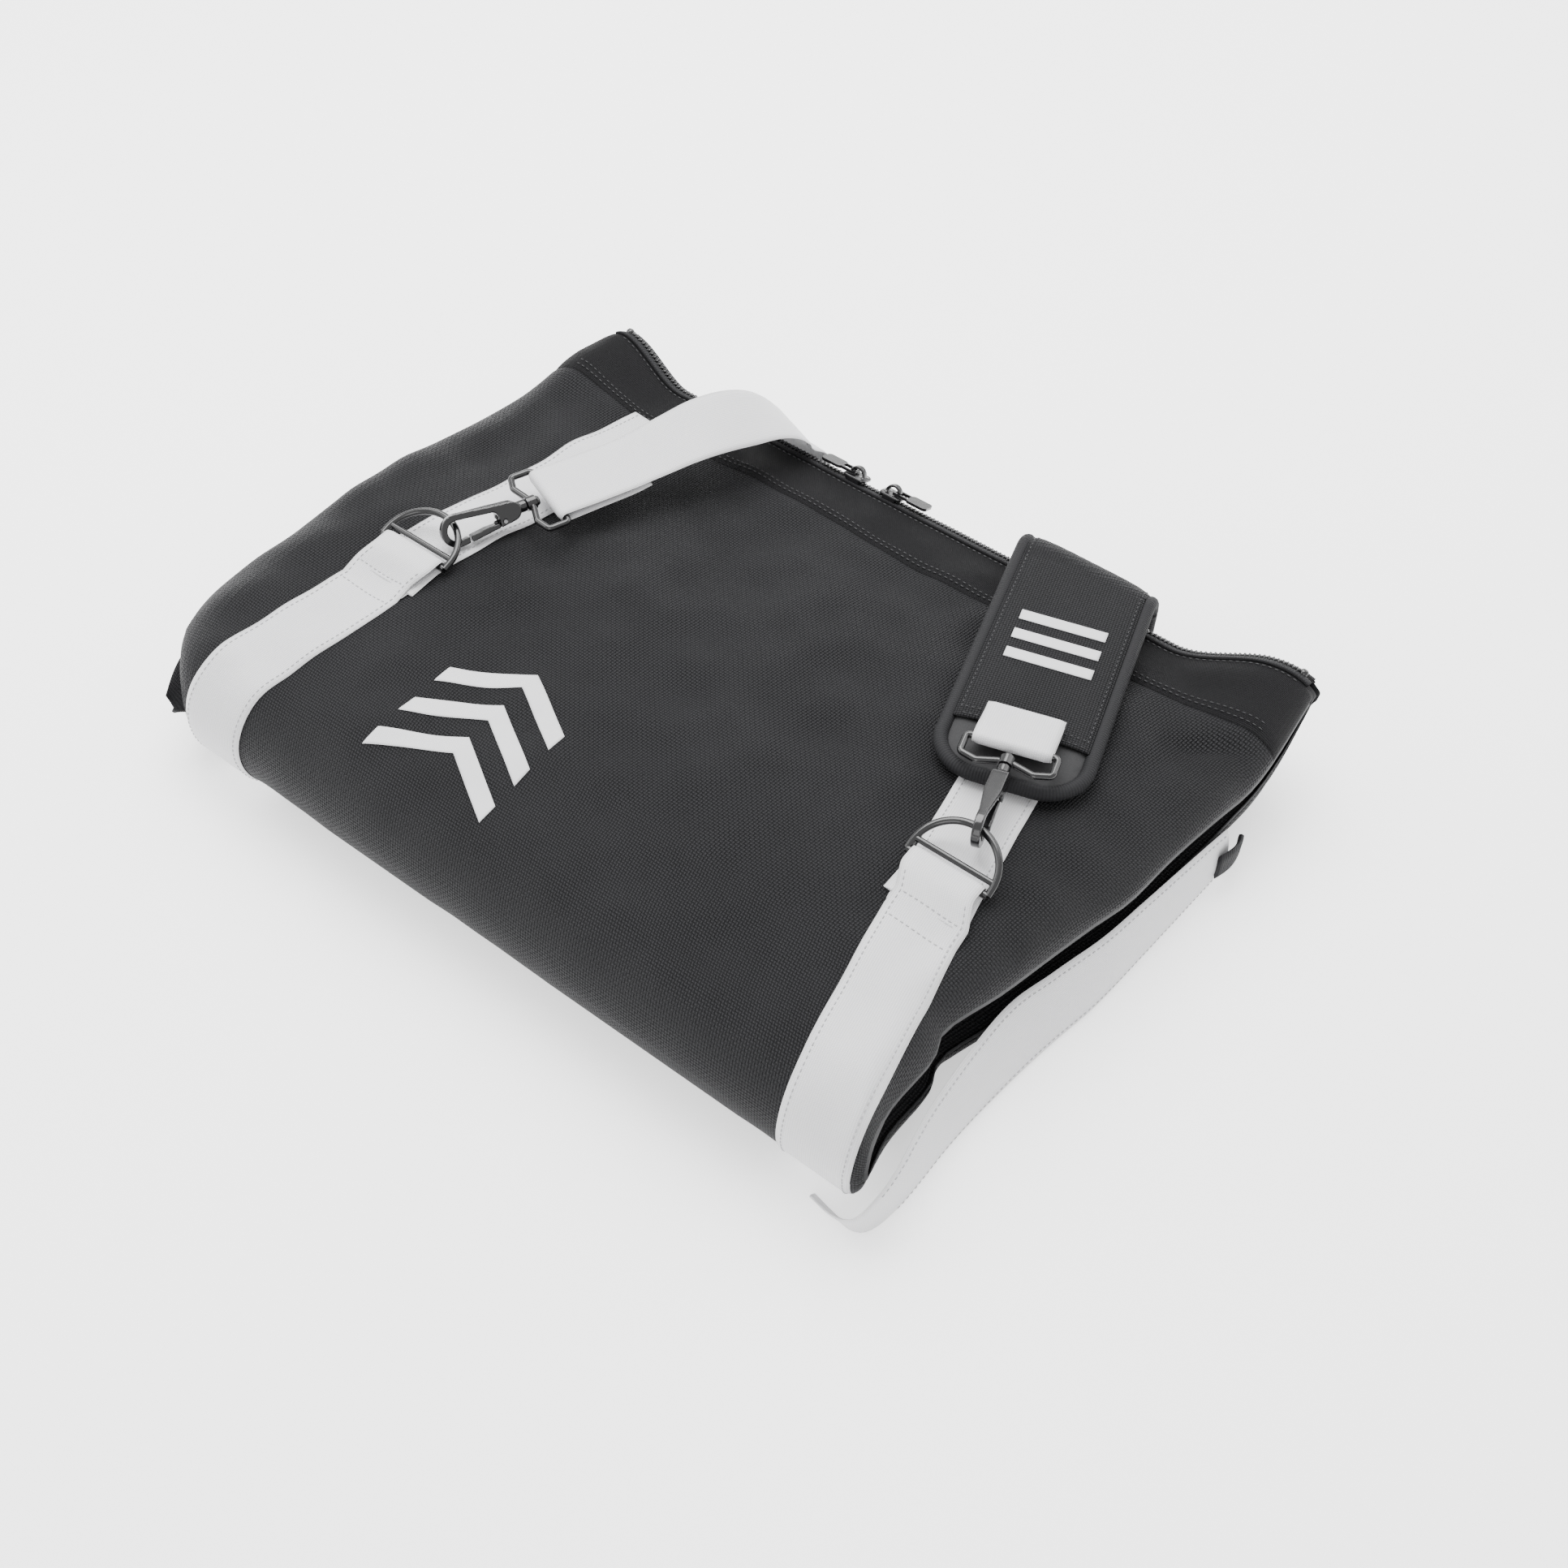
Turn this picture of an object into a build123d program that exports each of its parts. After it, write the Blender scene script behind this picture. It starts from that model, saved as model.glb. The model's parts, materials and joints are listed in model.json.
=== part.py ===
from build123d import *
from math import atan2, cos, degrees, radians, sin
import os

os.makedirs("parts", exist_ok=True)

# A soft carry bag, empty and lying on its back. +X runs along the bottom fold,
# +Y from the bottom fold to the zip, +Z up. Lengths are in millimetres.

# Bag body
bag_width = 484.0  # widest, from the left fold corner to the right zip corner
left_taper = 32.0  # how far the left side leans in from the fold to the zip
right_taper = 22.0  # how far the right side leans in from the zip to the fold
bag_depth = 339.0  # bottom fold to the rear lip of the zip
fold_radius = 35.0  # outside of the fabric round the bottom fold
crest_rise = 1.4  # height of the crest under the rings above the top of the fold
seam_height = 56.0
zip_front_height = 50.0
zip_rear_height = 46.0
zip_width = 9.9  # across the slanting zip face, lip to lip
hem_width = 35.0  # hem seam to the front lip of the zip
rear_foot_inset = 23.0  # rear lip of the zip to where the rear wall meets the floor
bottom_seam_distance = 82.0  # fold to the seam under the bag
side_radius = 26.0
fabric = 1.6
lining_thickness = 0.8
gusset_height = 44.0
gusset_gape = 10.0
gusset_tuck = 58.0
gusset_length = 262.0

# Webbing sewn to the bag
webbing_width = 38.0
webbing = 1.6
ring_distance = 130.0  # fold to the pivot bar of each ring
stitch_distance = 108.0  # fold to the cross stitch that closes the ring loop
ring_x = {"left": -161.0, "right": 165.5}
strap_lean = {"left": -7.9, "right": 10.7}  # degrees, the straps spread towards the fold
band_height = 38.0
band_length = 268.0
band_gap = 0.4
tab_length = 26.0
tab_height = 20.0
tab_thickness = 3.2

# Rings
wire = 3.6
ring_inner_width = webbing_width + 1.4
ring_leg = 3.0  # pivot bar to the start of the round
crossbar_distance = 6.2
crossbar_wire = 3.0
running_clearance = 0.1
ring_tilt = {"left": 15.0, "right": 22.0}

# Swivel hooks, measured along the hook from the wire in its jaw
jaw_radius = 5.2
jaw_wall = 3.4
jaw_throat = 3.1
throat_distance = 19.0
neck_distance = 30.0
neck_radius = 5.0
hook_thickness = 8.0
nose_thickness = 4.2
nose_end = 5.0
gate_gap = 0.35
gate_tip_gap = 0.9  # lets the outer corner of the gate's tip swing past the nose
gate_pivot_distance = 25.0
gate_pivot_offset = -3.6
gate_thickness = 6.4
pin_radius = 1.0
gate_eye_radius = 2.5
gate_eye_thickness = 2.2
spring_thickness = 1.0
stud_radius = 1.6
stud_head_radius = 3.0
collar_radius = 3.2
eye_distance = 41.7
eye_boss_length = 5.0
eye_boss_radius = 3.7
eye_wire = 3.4
eye_side_room = 1.3  # webbing edge to the eye, each side
eye_corner_radius = 2.4
eye_bar_distance = 11.0  # eye boss to the bar that holds the webbing
hook_yaw = {"left": -21.0, "right": 16.9}
hook_roll = {"left": 31.0, "right": 4.0}
hook_pitch = {"left": 2.0, "right": 3.0}
jaw_station = {"left": 33.0, "right": 4.0}  # degrees round the ring from its top

# Carry strap and shoulder pad
doubled_end = 52.0  # length of the doubled webbing at the left eye
strap_lift_over_zip = 12.0
drape_gap = 3.2  # rear lip to what hangs behind it, so that the sliders pass under the strap
slack_pitch = 2.65
slack_floor = 1.0
slack_overhang = 16.0  # slack beyond the left edge of the strap that hangs in front of it
slack_gap = 7.0  # end of the slack to the pad
pad_width = 76.0
pad_overhang = 17.0  # pad in front of the eye bar
pad_pocket = 15.0  # eye bar to the edge of the pad's pocket
pad_pocket_rise = 1.3  # room under the doubled end for the turn of the eye
pad_backing_thickness = 1.2
pad_foam_thickness = 4.0
pad_cover_thickness = 1.2
pad_binding_width = 5.0
pad_clearance = 2.6
pad_near_rise = 0.8  # underside of the pad above the crest, where its slope starts
pad_bend_radius = 9.0
pad_drop_end = 9.0  # lower end of the pad above the floor
pad_end_radius = 24.0

# Zip
chain_width = 6.4
chain_height = 2.0
chain_end_gap = 12.0
stop_length = 5.0
tape_gap = 1.2
slider_x = {"left": -32.0, "right": -8.0}
slider_length = 14.0
slider_width = 10.4
slider_plate = 1.6
slider_gap = 0.35
flange_thickness = 0.9
arch_length = 10.0
arch_height = 5.2
arch_bar = 1.6
arch_width = 3.4
pull_pin_radius = 0.8
pull_arm = 1.2
pull_reach = 8.0
pull_length = 21.0
pull_width = 9.6
pull_thickness = 1.5

# Prints
print_thickness = 0.3
chevron_span = 74.0
chevron_rise = 22.0
chevron_width = 11.0
chevron_pitch = 24.0
chevron_count = 3
emblem_x = -58.0
emblem_distance = 74.0  # fold to the emblem's middle
pad_stripe_width = 7.0
pad_stripe_length = 44.0
pad_stripe_pitch = 14.0
pad_stripe_count = 3
pad_stripe_distance = 78.0  # eye bar to the middle stripe

# Places that follow from the sizes above
sides = ("left", "right")
tall = 400.0  # longer than anything in the bag, for cutting shapes
pad_total = (
    pad_backing_thickness + pad_foam_thickness + webbing + pad_cover_thickness + 2 * running_clearance
)
overall_depth = bag_depth + webbing + drape_gap + pad_total
fold_y = -overall_depth / 2 + webbing
floor_z = webbing
fold_top_z = floor_z + 2 * fold_radius
crest_z = fold_top_z + crest_rise
rear_y = fold_y + bag_depth
zip_rise = zip_front_height - zip_rear_height
lip_y = rear_y - (zip_width**2 - zip_rise**2) ** 0.5
seam_y = lip_y - hem_width
pivot_y = fold_y + ring_distance
loop_radius = wire / 2 + running_clearance + webbing
pivot_z = crest_z + webbing + loop_radius
half_width = bag_width / 2
split_z = gusset_height
ring_radius = ring_inner_width / 2 + wire / 2
fold_round = fold_radius * 0.97  # leaves a short flat between the two rounds of the fold
foot_y = rear_y - rear_foot_inset
zip_tilt = degrees(atan2(zip_rise, rear_y - lip_y))


def save(piece, name):
    """Label one finished piece and write it out."""
    piece.part.label = name
    export_step(piece.part, f"parts/{name}.step")


def outline(inset):
    """The bag's side view, drawn in by inset."""
    corners = [
        (fold_y, fold_top_z),
        (pivot_y, crest_z),
        (seam_y, seam_height),
        (lip_y, zip_front_height),
        (rear_y, zip_rear_height),
        (foot_y, floor_z),
        (fold_y, floor_z),
    ]
    with BuildSketch(Plane.YZ) as full:
        with BuildLine() as edge:
            Polyline(*corners, close=True)
            if inset:
                offset(edge.line, amount=-inset, kind=Kind.INTERSECTION, mode=Mode.REPLACE)
        make_face()
        fillet(full.vertices().group_by(Axis.Y)[0], fold_round - inset)
    return full.sketch


def side_plane(side):
    """A plane across one side of the bag: x outwards, y up, at the fold."""
    if side == "right":
        lean = atan2(right_taper, bag_depth)
        corner = (half_width - right_taper, fold_y, 0)
        return Plane(corner, x_dir=(cos(lean), -sin(lean), 0), z_dir=(-sin(lean), -cos(lean), 0))
    lean = atan2(left_taper, bag_depth)
    corner = (-half_width, fold_y, 0)
    return Plane(corner, x_dir=(-cos(lean), sin(lean), 0), z_dir=(sin(lean), cos(lean), 0))


def bag_solid(inset):
    """The bag as one solid, drawn in by inset, with its sides rounded and its gussets tucked."""
    side_view = outline(inset)
    grooves = [tuck(side, inset) for side in sides]
    with BuildPart() as solid:
        extrude(side_view, amount=bag_width, both=True)
        for side in sides:
            with BuildSketch(side_plane(side)) as trim:
                with Locations((-bag_width / 2 - inset, floor_z + fold_radius)):
                    Rectangle(bag_width, 2 * fold_radius + 2 * crest_rise - 2 * inset)
                outer_corners = trim.vertices().sort_by_distance((0, floor_z + fold_radius, 0))[:2]
                fillet(outer_corners, side_radius - inset)
            extrude(amount=2 * bag_depth, both=True, mode=Mode.INTERSECT)
        add(grooves, mode=Mode.SUBTRACT)
    return solid.part


def tuck(side, grow):
    """The hollow that one gusset leaves when it is tucked in, grown by grow."""
    plane = side_plane(side)
    forward = -1 if side == "right" else 1
    half_gape = gusset_gape / 2 + grow
    with BuildPart() as groove:
        with BuildSketch(plane.offset(-forward * webbing_width)):
            with BuildLine():
                Polyline(
                    (webbing_width, gusset_height + half_gape),
                    (-gusset_tuck / 2, gusset_height + half_gape * 0.9),
                    (-gusset_tuck - grow, gusset_height),
                    (-gusset_tuck / 2, gusset_height - half_gape * 0.9),
                    (webbing_width, gusset_height - half_gape),
                    close=True,
                )
            make_face()
        extrude(amount=forward * (gusset_length + webbing_width + grow))
    return groove.part


def band_prism(x, y, lean, width, start, end):
    """An upright prism over a straight band that passes (x, y), leaning from +Y by lean degrees."""
    plane = Plane((x, y, -tall / 2), x_dir=(cos(radians(lean)), sin(radians(lean)), 0), z_dir=(0, 0, 1))
    with BuildPart() as prism:
        with BuildSketch(plane):
            with Locations((0, (start + end) / 2)):
                Rectangle(width, end - start)
        extrude(amount=tall)
    return prism.part


# Shell of the bag: panels, hems, gussets and zip tapes from one wall
wall_outer = bag_solid(0)
wall_inner = bag_solid(fabric)
tucks = {side: tuck(side, fabric) for side in sides}
bottom_seam_y = fold_y + bottom_seam_distance
tape_middle_y = (lip_y + rear_y) / 2
# Each piece of the wall is what lies in its rectangles of the side view: low y, low z, high y, high z
panel_cuts = {
    "front_panel": [(-tall, -tall, bottom_seam_y, tall), (bottom_seam_y, split_z, seam_y, tall)],
    "back_panel": [(bottom_seam_y, -tall, seam_y, split_z)],
    "front_hem": [(seam_y, split_z, lip_y, tall)],
    "back_hem": [(seam_y, -tall, tall, split_z)],
    "zip_tape_front": [(lip_y, split_z, tape_middle_y - tape_gap / 2, tall)],
    "zip_tape_back": [(tape_middle_y + tape_gap / 2, split_z, tall, tall)],
}
for name, rectangles in panel_cuts.items():
    with BuildPart() as panel:
        add(wall_outer)
        add(wall_inner, mode=Mode.SUBTRACT)
        add(list(tucks.values()), mode=Mode.SUBTRACT)
        with BuildSketch(Plane.YZ):
            for low_y, low_z, high_y, high_z in rectangles:
                with Locations(((low_y + high_y) / 2, (low_z + high_z) / 2)):
                    Rectangle(high_y - low_y, high_z - low_z)
        extrude(amount=tall, both=True, mode=Mode.INTERSECT)
    save(panel, name)

for side in sides:
    with BuildPart() as gusset:
        add(wall_outer)
        add(wall_inner, mode=Mode.SUBTRACT)
        add(tucks[side], mode=Mode.INTERSECT)
    save(gusset, f"gusset_{side}")

lining_inner = bag_solid(fabric + lining_thickness)
with BuildPart() as lining:
    add(wall_inner)
    add(lining_inner, mode=Mode.SUBTRACT)
    with BuildSketch(Plane.XY.offset(split_z)):
        with Locations((0, lip_y + tall / 2)):
            Rectangle(2 * tall, tall)
    extrude(amount=tall, mode=Mode.SUBTRACT)
save(lining, "lining")

# Webbing sewn flat on the outside
bag_outline, webbing_outline, print_outline = outline(0), outline(-webbing), outline(-print_thickness)
with BuildPart() as strap_layer:
    extrude(webbing_outline, amount=bag_width, both=True)
    extrude(bag_outline, amount=bag_width, both=True, mode=Mode.SUBTRACT)
strap_start = stitch_distance - ring_distance
for side in sides:
    x, lean = ring_x[side], strap_lean[side]
    front_band = band_prism(x, pivot_y, lean, webbing_width, -bag_depth, strap_start)
    with BuildPart() as body_strap:
        add(strap_layer.part)
        add(front_band, mode=Mode.INTERSECT)
    save(body_strap, f"body_strap_{side}")

    # The left strap runs on under the bag; the right one stands up along the side instead
    if side == "left":
        under_band = band_prism(x, pivot_y, lean, webbing_width, strap_start, bag_depth)
        with BuildPart() as under_strap:
            add(strap_layer.part)
            add(under_band, mode=Mode.INTERSECT)
            with BuildSketch(Plane.XY):
                with Locations((0, foot_y - tall)):
                    Rectangle(2 * tall, 2 * tall)
            extrude(amount=split_z, mode=Mode.INTERSECT)
        save(under_strap, "under_strap_left")

    # The end of the strap turns round the ring's pivot bar and back under itself
    with BuildPart() as ring_loop:
        with BuildSketch(Plane.YZ.offset(x - webbing_width / 2)):
            with Locations((pivot_y, pivot_z)):
                Circle(loop_radius)
            with BuildLine():
                Polyline(
                    (pivot_y, pivot_z + loop_radius),
                    (fold_y + stitch_distance, crest_z + 2 * webbing),
                    (fold_y + stitch_distance, crest_z + webbing),
                    (pivot_y, pivot_z - loop_radius),
                    close=True,
                )
            make_face()
            with Locations((pivot_y, pivot_z)):
                Circle(wire / 2 + running_clearance, mode=Mode.SUBTRACT)
        extrude(amount=webbing_width)
    save(ring_loop, f"ring_loop_{side}")

    tail_band = band_prism(x, pivot_y, lean, webbing_width, strap_start, bag_depth)
    with BuildPart() as tail_strap:
        add(strap_layer.part)
        add(tail_band, mode=Mode.INTERSECT)
        with BuildSketch(Plane.XY.offset(split_z)):
            with Locations((0, seam_y - tall / 2)):
                Rectangle(2 * tall, tall)
        extrude(amount=tall, mode=Mode.INTERSECT)
    save(tail_strap, f"tail_strap_{side}")

side_frame = side_plane("right")
with BuildPart() as side_band:
    with BuildSketch(side_frame):
        with Locations((band_gap + webbing / 2, band_height / 2)):
            Rectangle(webbing, band_height)
    extrude(amount=-band_length)
save(side_band, "side_band_right")

with BuildPart() as band_tab:
    with BuildSketch(side_frame.offset(-band_length)):
        with Locations((band_gap + tab_thickness / 2, tab_height / 2)):
            Rectangle(tab_thickness, tab_height)
    extrude(amount=-tab_length)
    chamfer(band_tab.edges().filter_by(Axis.X, tolerance=5).group_by(Axis.Y)[-1], tab_thickness * 1.2)
save(band_tab, "band_end_tab")

# Zip chain, stops, sliders and pulls, on the slanting zip face
zip_middle = ((lip_y + rear_y) / 2, (zip_front_height + zip_rear_height) / 2)
zip_normal = (0, sin(radians(zip_tilt)), cos(radians(zip_tilt)))
zip_left_x = -half_width + left_taper + chain_end_gap
zip_right_x = half_width - chain_end_gap


def zip_plane(x):
    """The zip face at x: local x along the zip, local y across it, z out of it."""
    return Plane((x, *zip_middle), x_dir=(1, 0, 0), z_dir=zip_normal)


with BuildPart() as zip_chain:
    with BuildSketch(zip_plane((zip_left_x + zip_right_x) / 2)):
        Rectangle(zip_right_x - zip_left_x - 2 * stop_length, chain_width)
    extrude(amount=chain_height)
    fillet(zip_chain.faces().sort_by(Axis.Z)[-1].edges().filter_by(Axis.X), chain_height * 0.4)
save(zip_chain, "zip_chain")

with BuildPart() as zip_stops:
    for x in (zip_left_x + stop_length / 2, zip_right_x - stop_length / 2):
        with BuildSketch(zip_plane(x)):
            Rectangle(stop_length, chain_width)
        extrude(amount=chain_height)
save(zip_stops, "zip_stops")

for side, outward in (("left", -1), ("right", 1)):
    face = zip_plane(slider_x[side])
    plate_height = chain_height + slider_gap
    arch_base = plate_height + slider_plate
    arch_radius = arch_length / 2
    with BuildPart() as slider:
        with BuildSketch(face.offset(plate_height)):
            RectangleRounded(slider_length, slider_width, slider_width / 4)
        extrude(amount=slider_plate)
        with BuildSketch(face.offset(slider_gap)):
            with Locations(
                (0, slider_width / 2 - flange_thickness / 2), (0, flange_thickness / 2 - slider_width / 2)
            ):
                Rectangle(slider_length * 0.6, flange_thickness)
        extrude(amount=plate_height)
        arch_face = Plane(face.origin, x_dir=face.x_dir, z_dir=-face.y_dir)
        with BuildSketch(arch_face.offset(-arch_width / 2)):
            with Locations((0, arch_base)):
                Ellipse(arch_radius, arch_height)
                Ellipse(arch_radius - arch_bar, arch_height - arch_bar, mode=Mode.SUBTRACT)
            with Locations((0, arch_base - tall / 2 - slider_plate / 2)):
                Rectangle(tall, tall, mode=Mode.SUBTRACT)
        extrude(amount=arch_width)
    save(slider, f"slider_{side}")

    pin_x = outward * (arch_radius - arch_bar - pull_pin_radius - 3 * slider_gap)
    pin_height = arch_base + pull_pin_radius + slider_gap
    arm_inner = arch_width / 2 + slider_gap
    with BuildPart() as pull:
        with BuildSketch(arch_face.offset(-arm_inner - pull_arm)):
            with Locations((pin_x, pin_height)):
                Circle(pull_pin_radius)
        extrude(amount=2 * (arm_inner + pull_arm))
        with BuildSketch(face.offset(pin_height - pull_thickness / 2)):
            for arm in (-1, 1):
                with Locations((pin_x + outward * pull_reach / 2, arm * (arm_inner + pull_arm / 2))):
                    Rectangle(pull_reach + 2 * pull_pin_radius, pull_arm)
            with Locations((pin_x + outward * (pull_reach + pull_length) / 2, 0)):
                RectangleRounded(pull_length - pull_reach, pull_width, pull_width / 4)
        extrude(amount=pull_thickness)
    save(pull, f"pull_{side}")


# Rings: a round with a pivot bar inside the webbing loop and a cross bar above it
def ring_plane(side):
    """The ring's own plane: x along the pivot bar, y towards the hook, z out of the ring."""
    tilt = radians(ring_tilt[side])
    return Plane((ring_x[side], pivot_y, pivot_z), x_dir=(1, 0, 0), z_dir=(0, -sin(tilt), cos(tilt)))


for side in sides:
    plane = ring_plane(side)
    with BuildPart() as ring:
        with BuildLine(plane) as bend:
            Line((-ring_radius, 0), (-ring_radius, ring_leg))
            ThreePointArc((-ring_radius, ring_leg), (0, ring_leg + ring_radius), (ring_radius, ring_leg))
            Line((ring_radius, ring_leg), (ring_radius, 0))
        with BuildSketch(Plane(bend.line @ 0, z_dir=bend.line % 0)):
            Circle(wire / 2)
        sweep()
        bar_plane = Plane(plane.origin, x_dir=plane.y_dir, z_dir=plane.x_dir)
        with BuildSketch(bar_plane.offset(-ring_radius)):
            Circle(wire / 2)
        extrude(amount=2 * ring_radius)
        with BuildSketch(bar_plane.offset(-ring_radius)):
            with Locations((crossbar_distance, 0)):
                Circle(crossbar_wire / 2)
        extrude(amount=2 * ring_radius)
    save(ring, f"dring_{side}")


# Swivel hooks: v runs along the hook from the jaw to the eye, u across it in its own plane
def jaw_point(side):
    """Where the ring's wire passes through the jaw."""
    around = radians(jaw_station[side])
    return ring_plane(side).from_local_coords(
        Vector(ring_radius * sin(around), ring_leg + ring_radius * cos(around), 0)
    )


def hook_axis(side):
    """Unit vector along the hook, from its jaw to its eye."""
    yaw, pitch = radians(hook_yaw[side]), -radians(hook_pitch[side])
    return Vector(-sin(yaw) * cos(pitch), cos(yaw) * cos(pitch), sin(pitch))


def hook_plane(side):
    """The plane the hook is cut in: local x across it, local y along it."""
    along = hook_axis(side)
    level = along.cross(Vector(0, 0, 1)).normalized()
    upright = level.cross(along).normalized()
    roll = radians(hook_roll[side])
    across = upright * cos(roll) - level * sin(roll)
    return Plane(jaw_point(side), x_dir=across, z_dir=across.cross(along))


def eye_plane(side):
    """The plane the eye lies in: local x along its bar, local y along the hook."""
    along = hook_axis(side)
    level = along.cross(Vector(0, 0, 1)).normalized()
    return Plane(jaw_point(side), x_dir=level, z_dir=level.cross(along))


for side in sides:
    plane = hook_plane(side)
    with BuildSketch() as whole:
        Circle(jaw_radius + jaw_wall)
        with Locations((0, neck_distance)):
            Circle(neck_radius)
        make_hull()
    with BuildSketch() as mouth:
        Circle(jaw_radius)
        with Locations((0, throat_distance)):
            Circle(jaw_throat)
        make_hull()
    window_end = gate_pivot_distance - gate_eye_radius
    with BuildSketch() as window:
        with Locations((-tall / 2 + gate_pivot_offset / 2, (nose_end + window_end) / 2)):
            Rectangle(tall, window_end - nose_end)
    pivot = (gate_pivot_offset, gate_pivot_distance)
    with BuildPart() as hook:
        with BuildSketch(plane.offset(-hook_thickness / 2)):
            add(whole.sketch)
            add(mouth.sketch, mode=Mode.SUBTRACT)
            add(window.sketch, mode=Mode.SUBTRACT)
        extrude(amount=hook_thickness)
        # The nose narrows so that the ring's wire can lean in the jaw
        lean_plane = Plane(plane.origin, x_dir=plane.z_dir, z_dir=-plane.x_dir)
        with BuildSketch(lean_plane.offset(-tall / 2)):
            with BuildLine():
                Polyline(
                    (-nose_thickness / 2, -jaw_radius - jaw_wall),
                    (nose_thickness / 2, -jaw_radius - jaw_wall),
                    (nose_thickness / 2, nose_end),
                    (hook_thickness / 2, throat_distance),
                    (hook_thickness / 2, eye_distance + tall / 2),
                    (-hook_thickness / 2, eye_distance + tall / 2),
                    (-hook_thickness / 2, throat_distance),
                    (-nose_thickness / 2, nose_end),
                    close=True,
                )
            make_face()
        extrude(amount=tall, mode=Mode.INTERSECT)
        # Slot between two cheeks for the gate's eye and its spring
        with BuildSketch(plane.offset(-gate_eye_thickness / 2 - spring_thickness)):
            with Locations(pivot):
                Circle(gate_eye_radius + gate_gap)
                with Locations((-gate_eye_radius / 2, -gate_eye_radius)):
                    Rectangle(4 * gate_eye_radius, 2 * gate_eye_radius)
        extrude(amount=gate_eye_thickness + spring_thickness + gate_gap, mode=Mode.SUBTRACT)
        with BuildSketch(plane.offset(-hook_thickness / 2)):
            with Locations(pivot):
                Circle(pin_radius)
        extrude(amount=hook_thickness, mode=Mode.SUBTRACT)
        # Collar, stud and rivet head of the swivel
        swivel = Plane(plane.origin, x_dir=plane.x_dir, z_dir=plane.y_dir)
        boss_start = eye_distance - eye_boss_length / 2
        boss_end = eye_distance + eye_boss_length / 2
        with BuildSketch(swivel.offset(neck_distance + neck_radius / 2)):
            Circle(collar_radius)
        extrude(amount=boss_start - gate_gap - neck_distance - neck_radius / 2)
        with BuildSketch(swivel.offset(neck_distance + neck_radius / 2)):
            Circle(stud_radius)
        extrude(amount=boss_end + gate_gap + 1 - neck_distance - neck_radius / 2)
        with BuildSketch(swivel.offset(boss_end + gate_gap)):
            Circle(stud_head_radius)
        extrude(amount=2, taper=25)
    save(hook, f"hook_{side}")

    with BuildPart() as gate:
        with BuildSketch(plane.offset(-gate_thickness / 2)):
            add(whole.sketch)
            add(mouth.sketch, mode=Mode.SUBTRACT)
            gate_start, gate_end = nose_end + gate_tip_gap, window_end - gate_gap
            with Locations((gate_pivot_offset - tall / 2, (gate_start + gate_end) / 2)):
                Rectangle(tall, gate_end - gate_start, mode=Mode.INTERSECT)
        extrude(amount=gate_thickness)
        with BuildSketch(plane.offset(-gate_eye_thickness / 2)):
            with Locations(pivot):
                Circle(gate_eye_radius)
            with Locations((gate_pivot_offset - 0.6, gate_pivot_distance - gate_eye_radius)):
                Rectangle(gate_eye_radius * 1.6, 2 * gate_eye_radius)
            with Locations(pivot):
                Circle(pin_radius + running_clearance, mode=Mode.SUBTRACT)
        extrude(amount=gate_eye_thickness)
    save(gate, f"gate_{side}")

    with BuildPart() as gate_pin:
        with BuildSketch(plane.offset(-hook_thickness / 2)):
            with Locations(pivot):
                Circle(pin_radius)
        extrude(amount=hook_thickness)
    save(gate_pin, f"gate_pin_{side}")

    with BuildPart() as gate_spring:
        with BuildSketch(plane.offset(-gate_eye_thickness / 2 - spring_thickness)):
            with Locations(pivot):
                Circle(gate_eye_radius - gate_gap)
                Circle(pin_radius + running_clearance, mode=Mode.SUBTRACT)
        extrude(amount=spring_thickness - running_clearance)
    save(gate_spring, f"gate_spring_{side}")

    bar_distance = eye_distance + eye_bar_distance
    eye_half = webbing_width / 2 + eye_wire / 2 + eye_side_room
    lobe = eye_distance - eye_boss_length / 2
    frame = eye_plane(side)
    with BuildPart() as eye:
        with BuildLine(frame) as eye_path:
            FilletPolyline(
                (eye_half, bar_distance),
                (eye_half, lobe + 2),
                (eye_half * 0.62, lobe - 0.6),
                (eye_boss_radius, eye_distance),
                (-eye_boss_radius, eye_distance),
                (-eye_half * 0.62, lobe - 0.6),
                (-eye_half, lobe + 2),
                (-eye_half, bar_distance),
                radius=eye_corner_radius,
                close=True,
            )
        with BuildSketch(Plane(eye_path.line @ 0, z_dir=eye_path.line % 0)):
            Circle(eye_wire / 2)
        sweep()
        boss_plane = Plane(frame.origin, x_dir=frame.x_dir, z_dir=frame.y_dir)
        with BuildSketch(boss_plane.offset(boss_start)):
            Circle(eye_boss_radius)
        extrude(amount=eye_boss_length)
        with BuildSketch(boss_plane.offset(boss_start)):
            Circle(stud_radius + running_clearance)
        extrude(amount=eye_boss_length, mode=Mode.SUBTRACT)
    save(eye, f"eye_{side}")


# Carry strap: webbing from the left eye over the zip, slack folded on edge behind the bag,
# and up through the pad to the right eye
def eye_bar(side):
    """The middle of the bar that holds the webbing."""
    return eye_plane(side).from_local_coords(Vector(0, eye_distance + eye_bar_distance, 0))


hang_y = rear_y + drape_gap
pad_webbing_y = hang_y + pad_backing_thickness + pad_foam_thickness + running_clearance
left_bar, right_bar = eye_bar("left"), eye_bar("right")
eye_loop_radius = eye_wire / 2 + running_clearance + webbing
over_zip_z = zip_front_height + strap_lift_over_zip
pad_foot_z = over_zip_z - pad_clearance
pad_slope_start = right_bar.Y - pad_overhang - pad_width / 2
pad_near_z = crest_z + pad_near_rise
pad_slope = (pad_foot_z - pad_near_z) / (hang_y - pad_slope_start)


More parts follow.
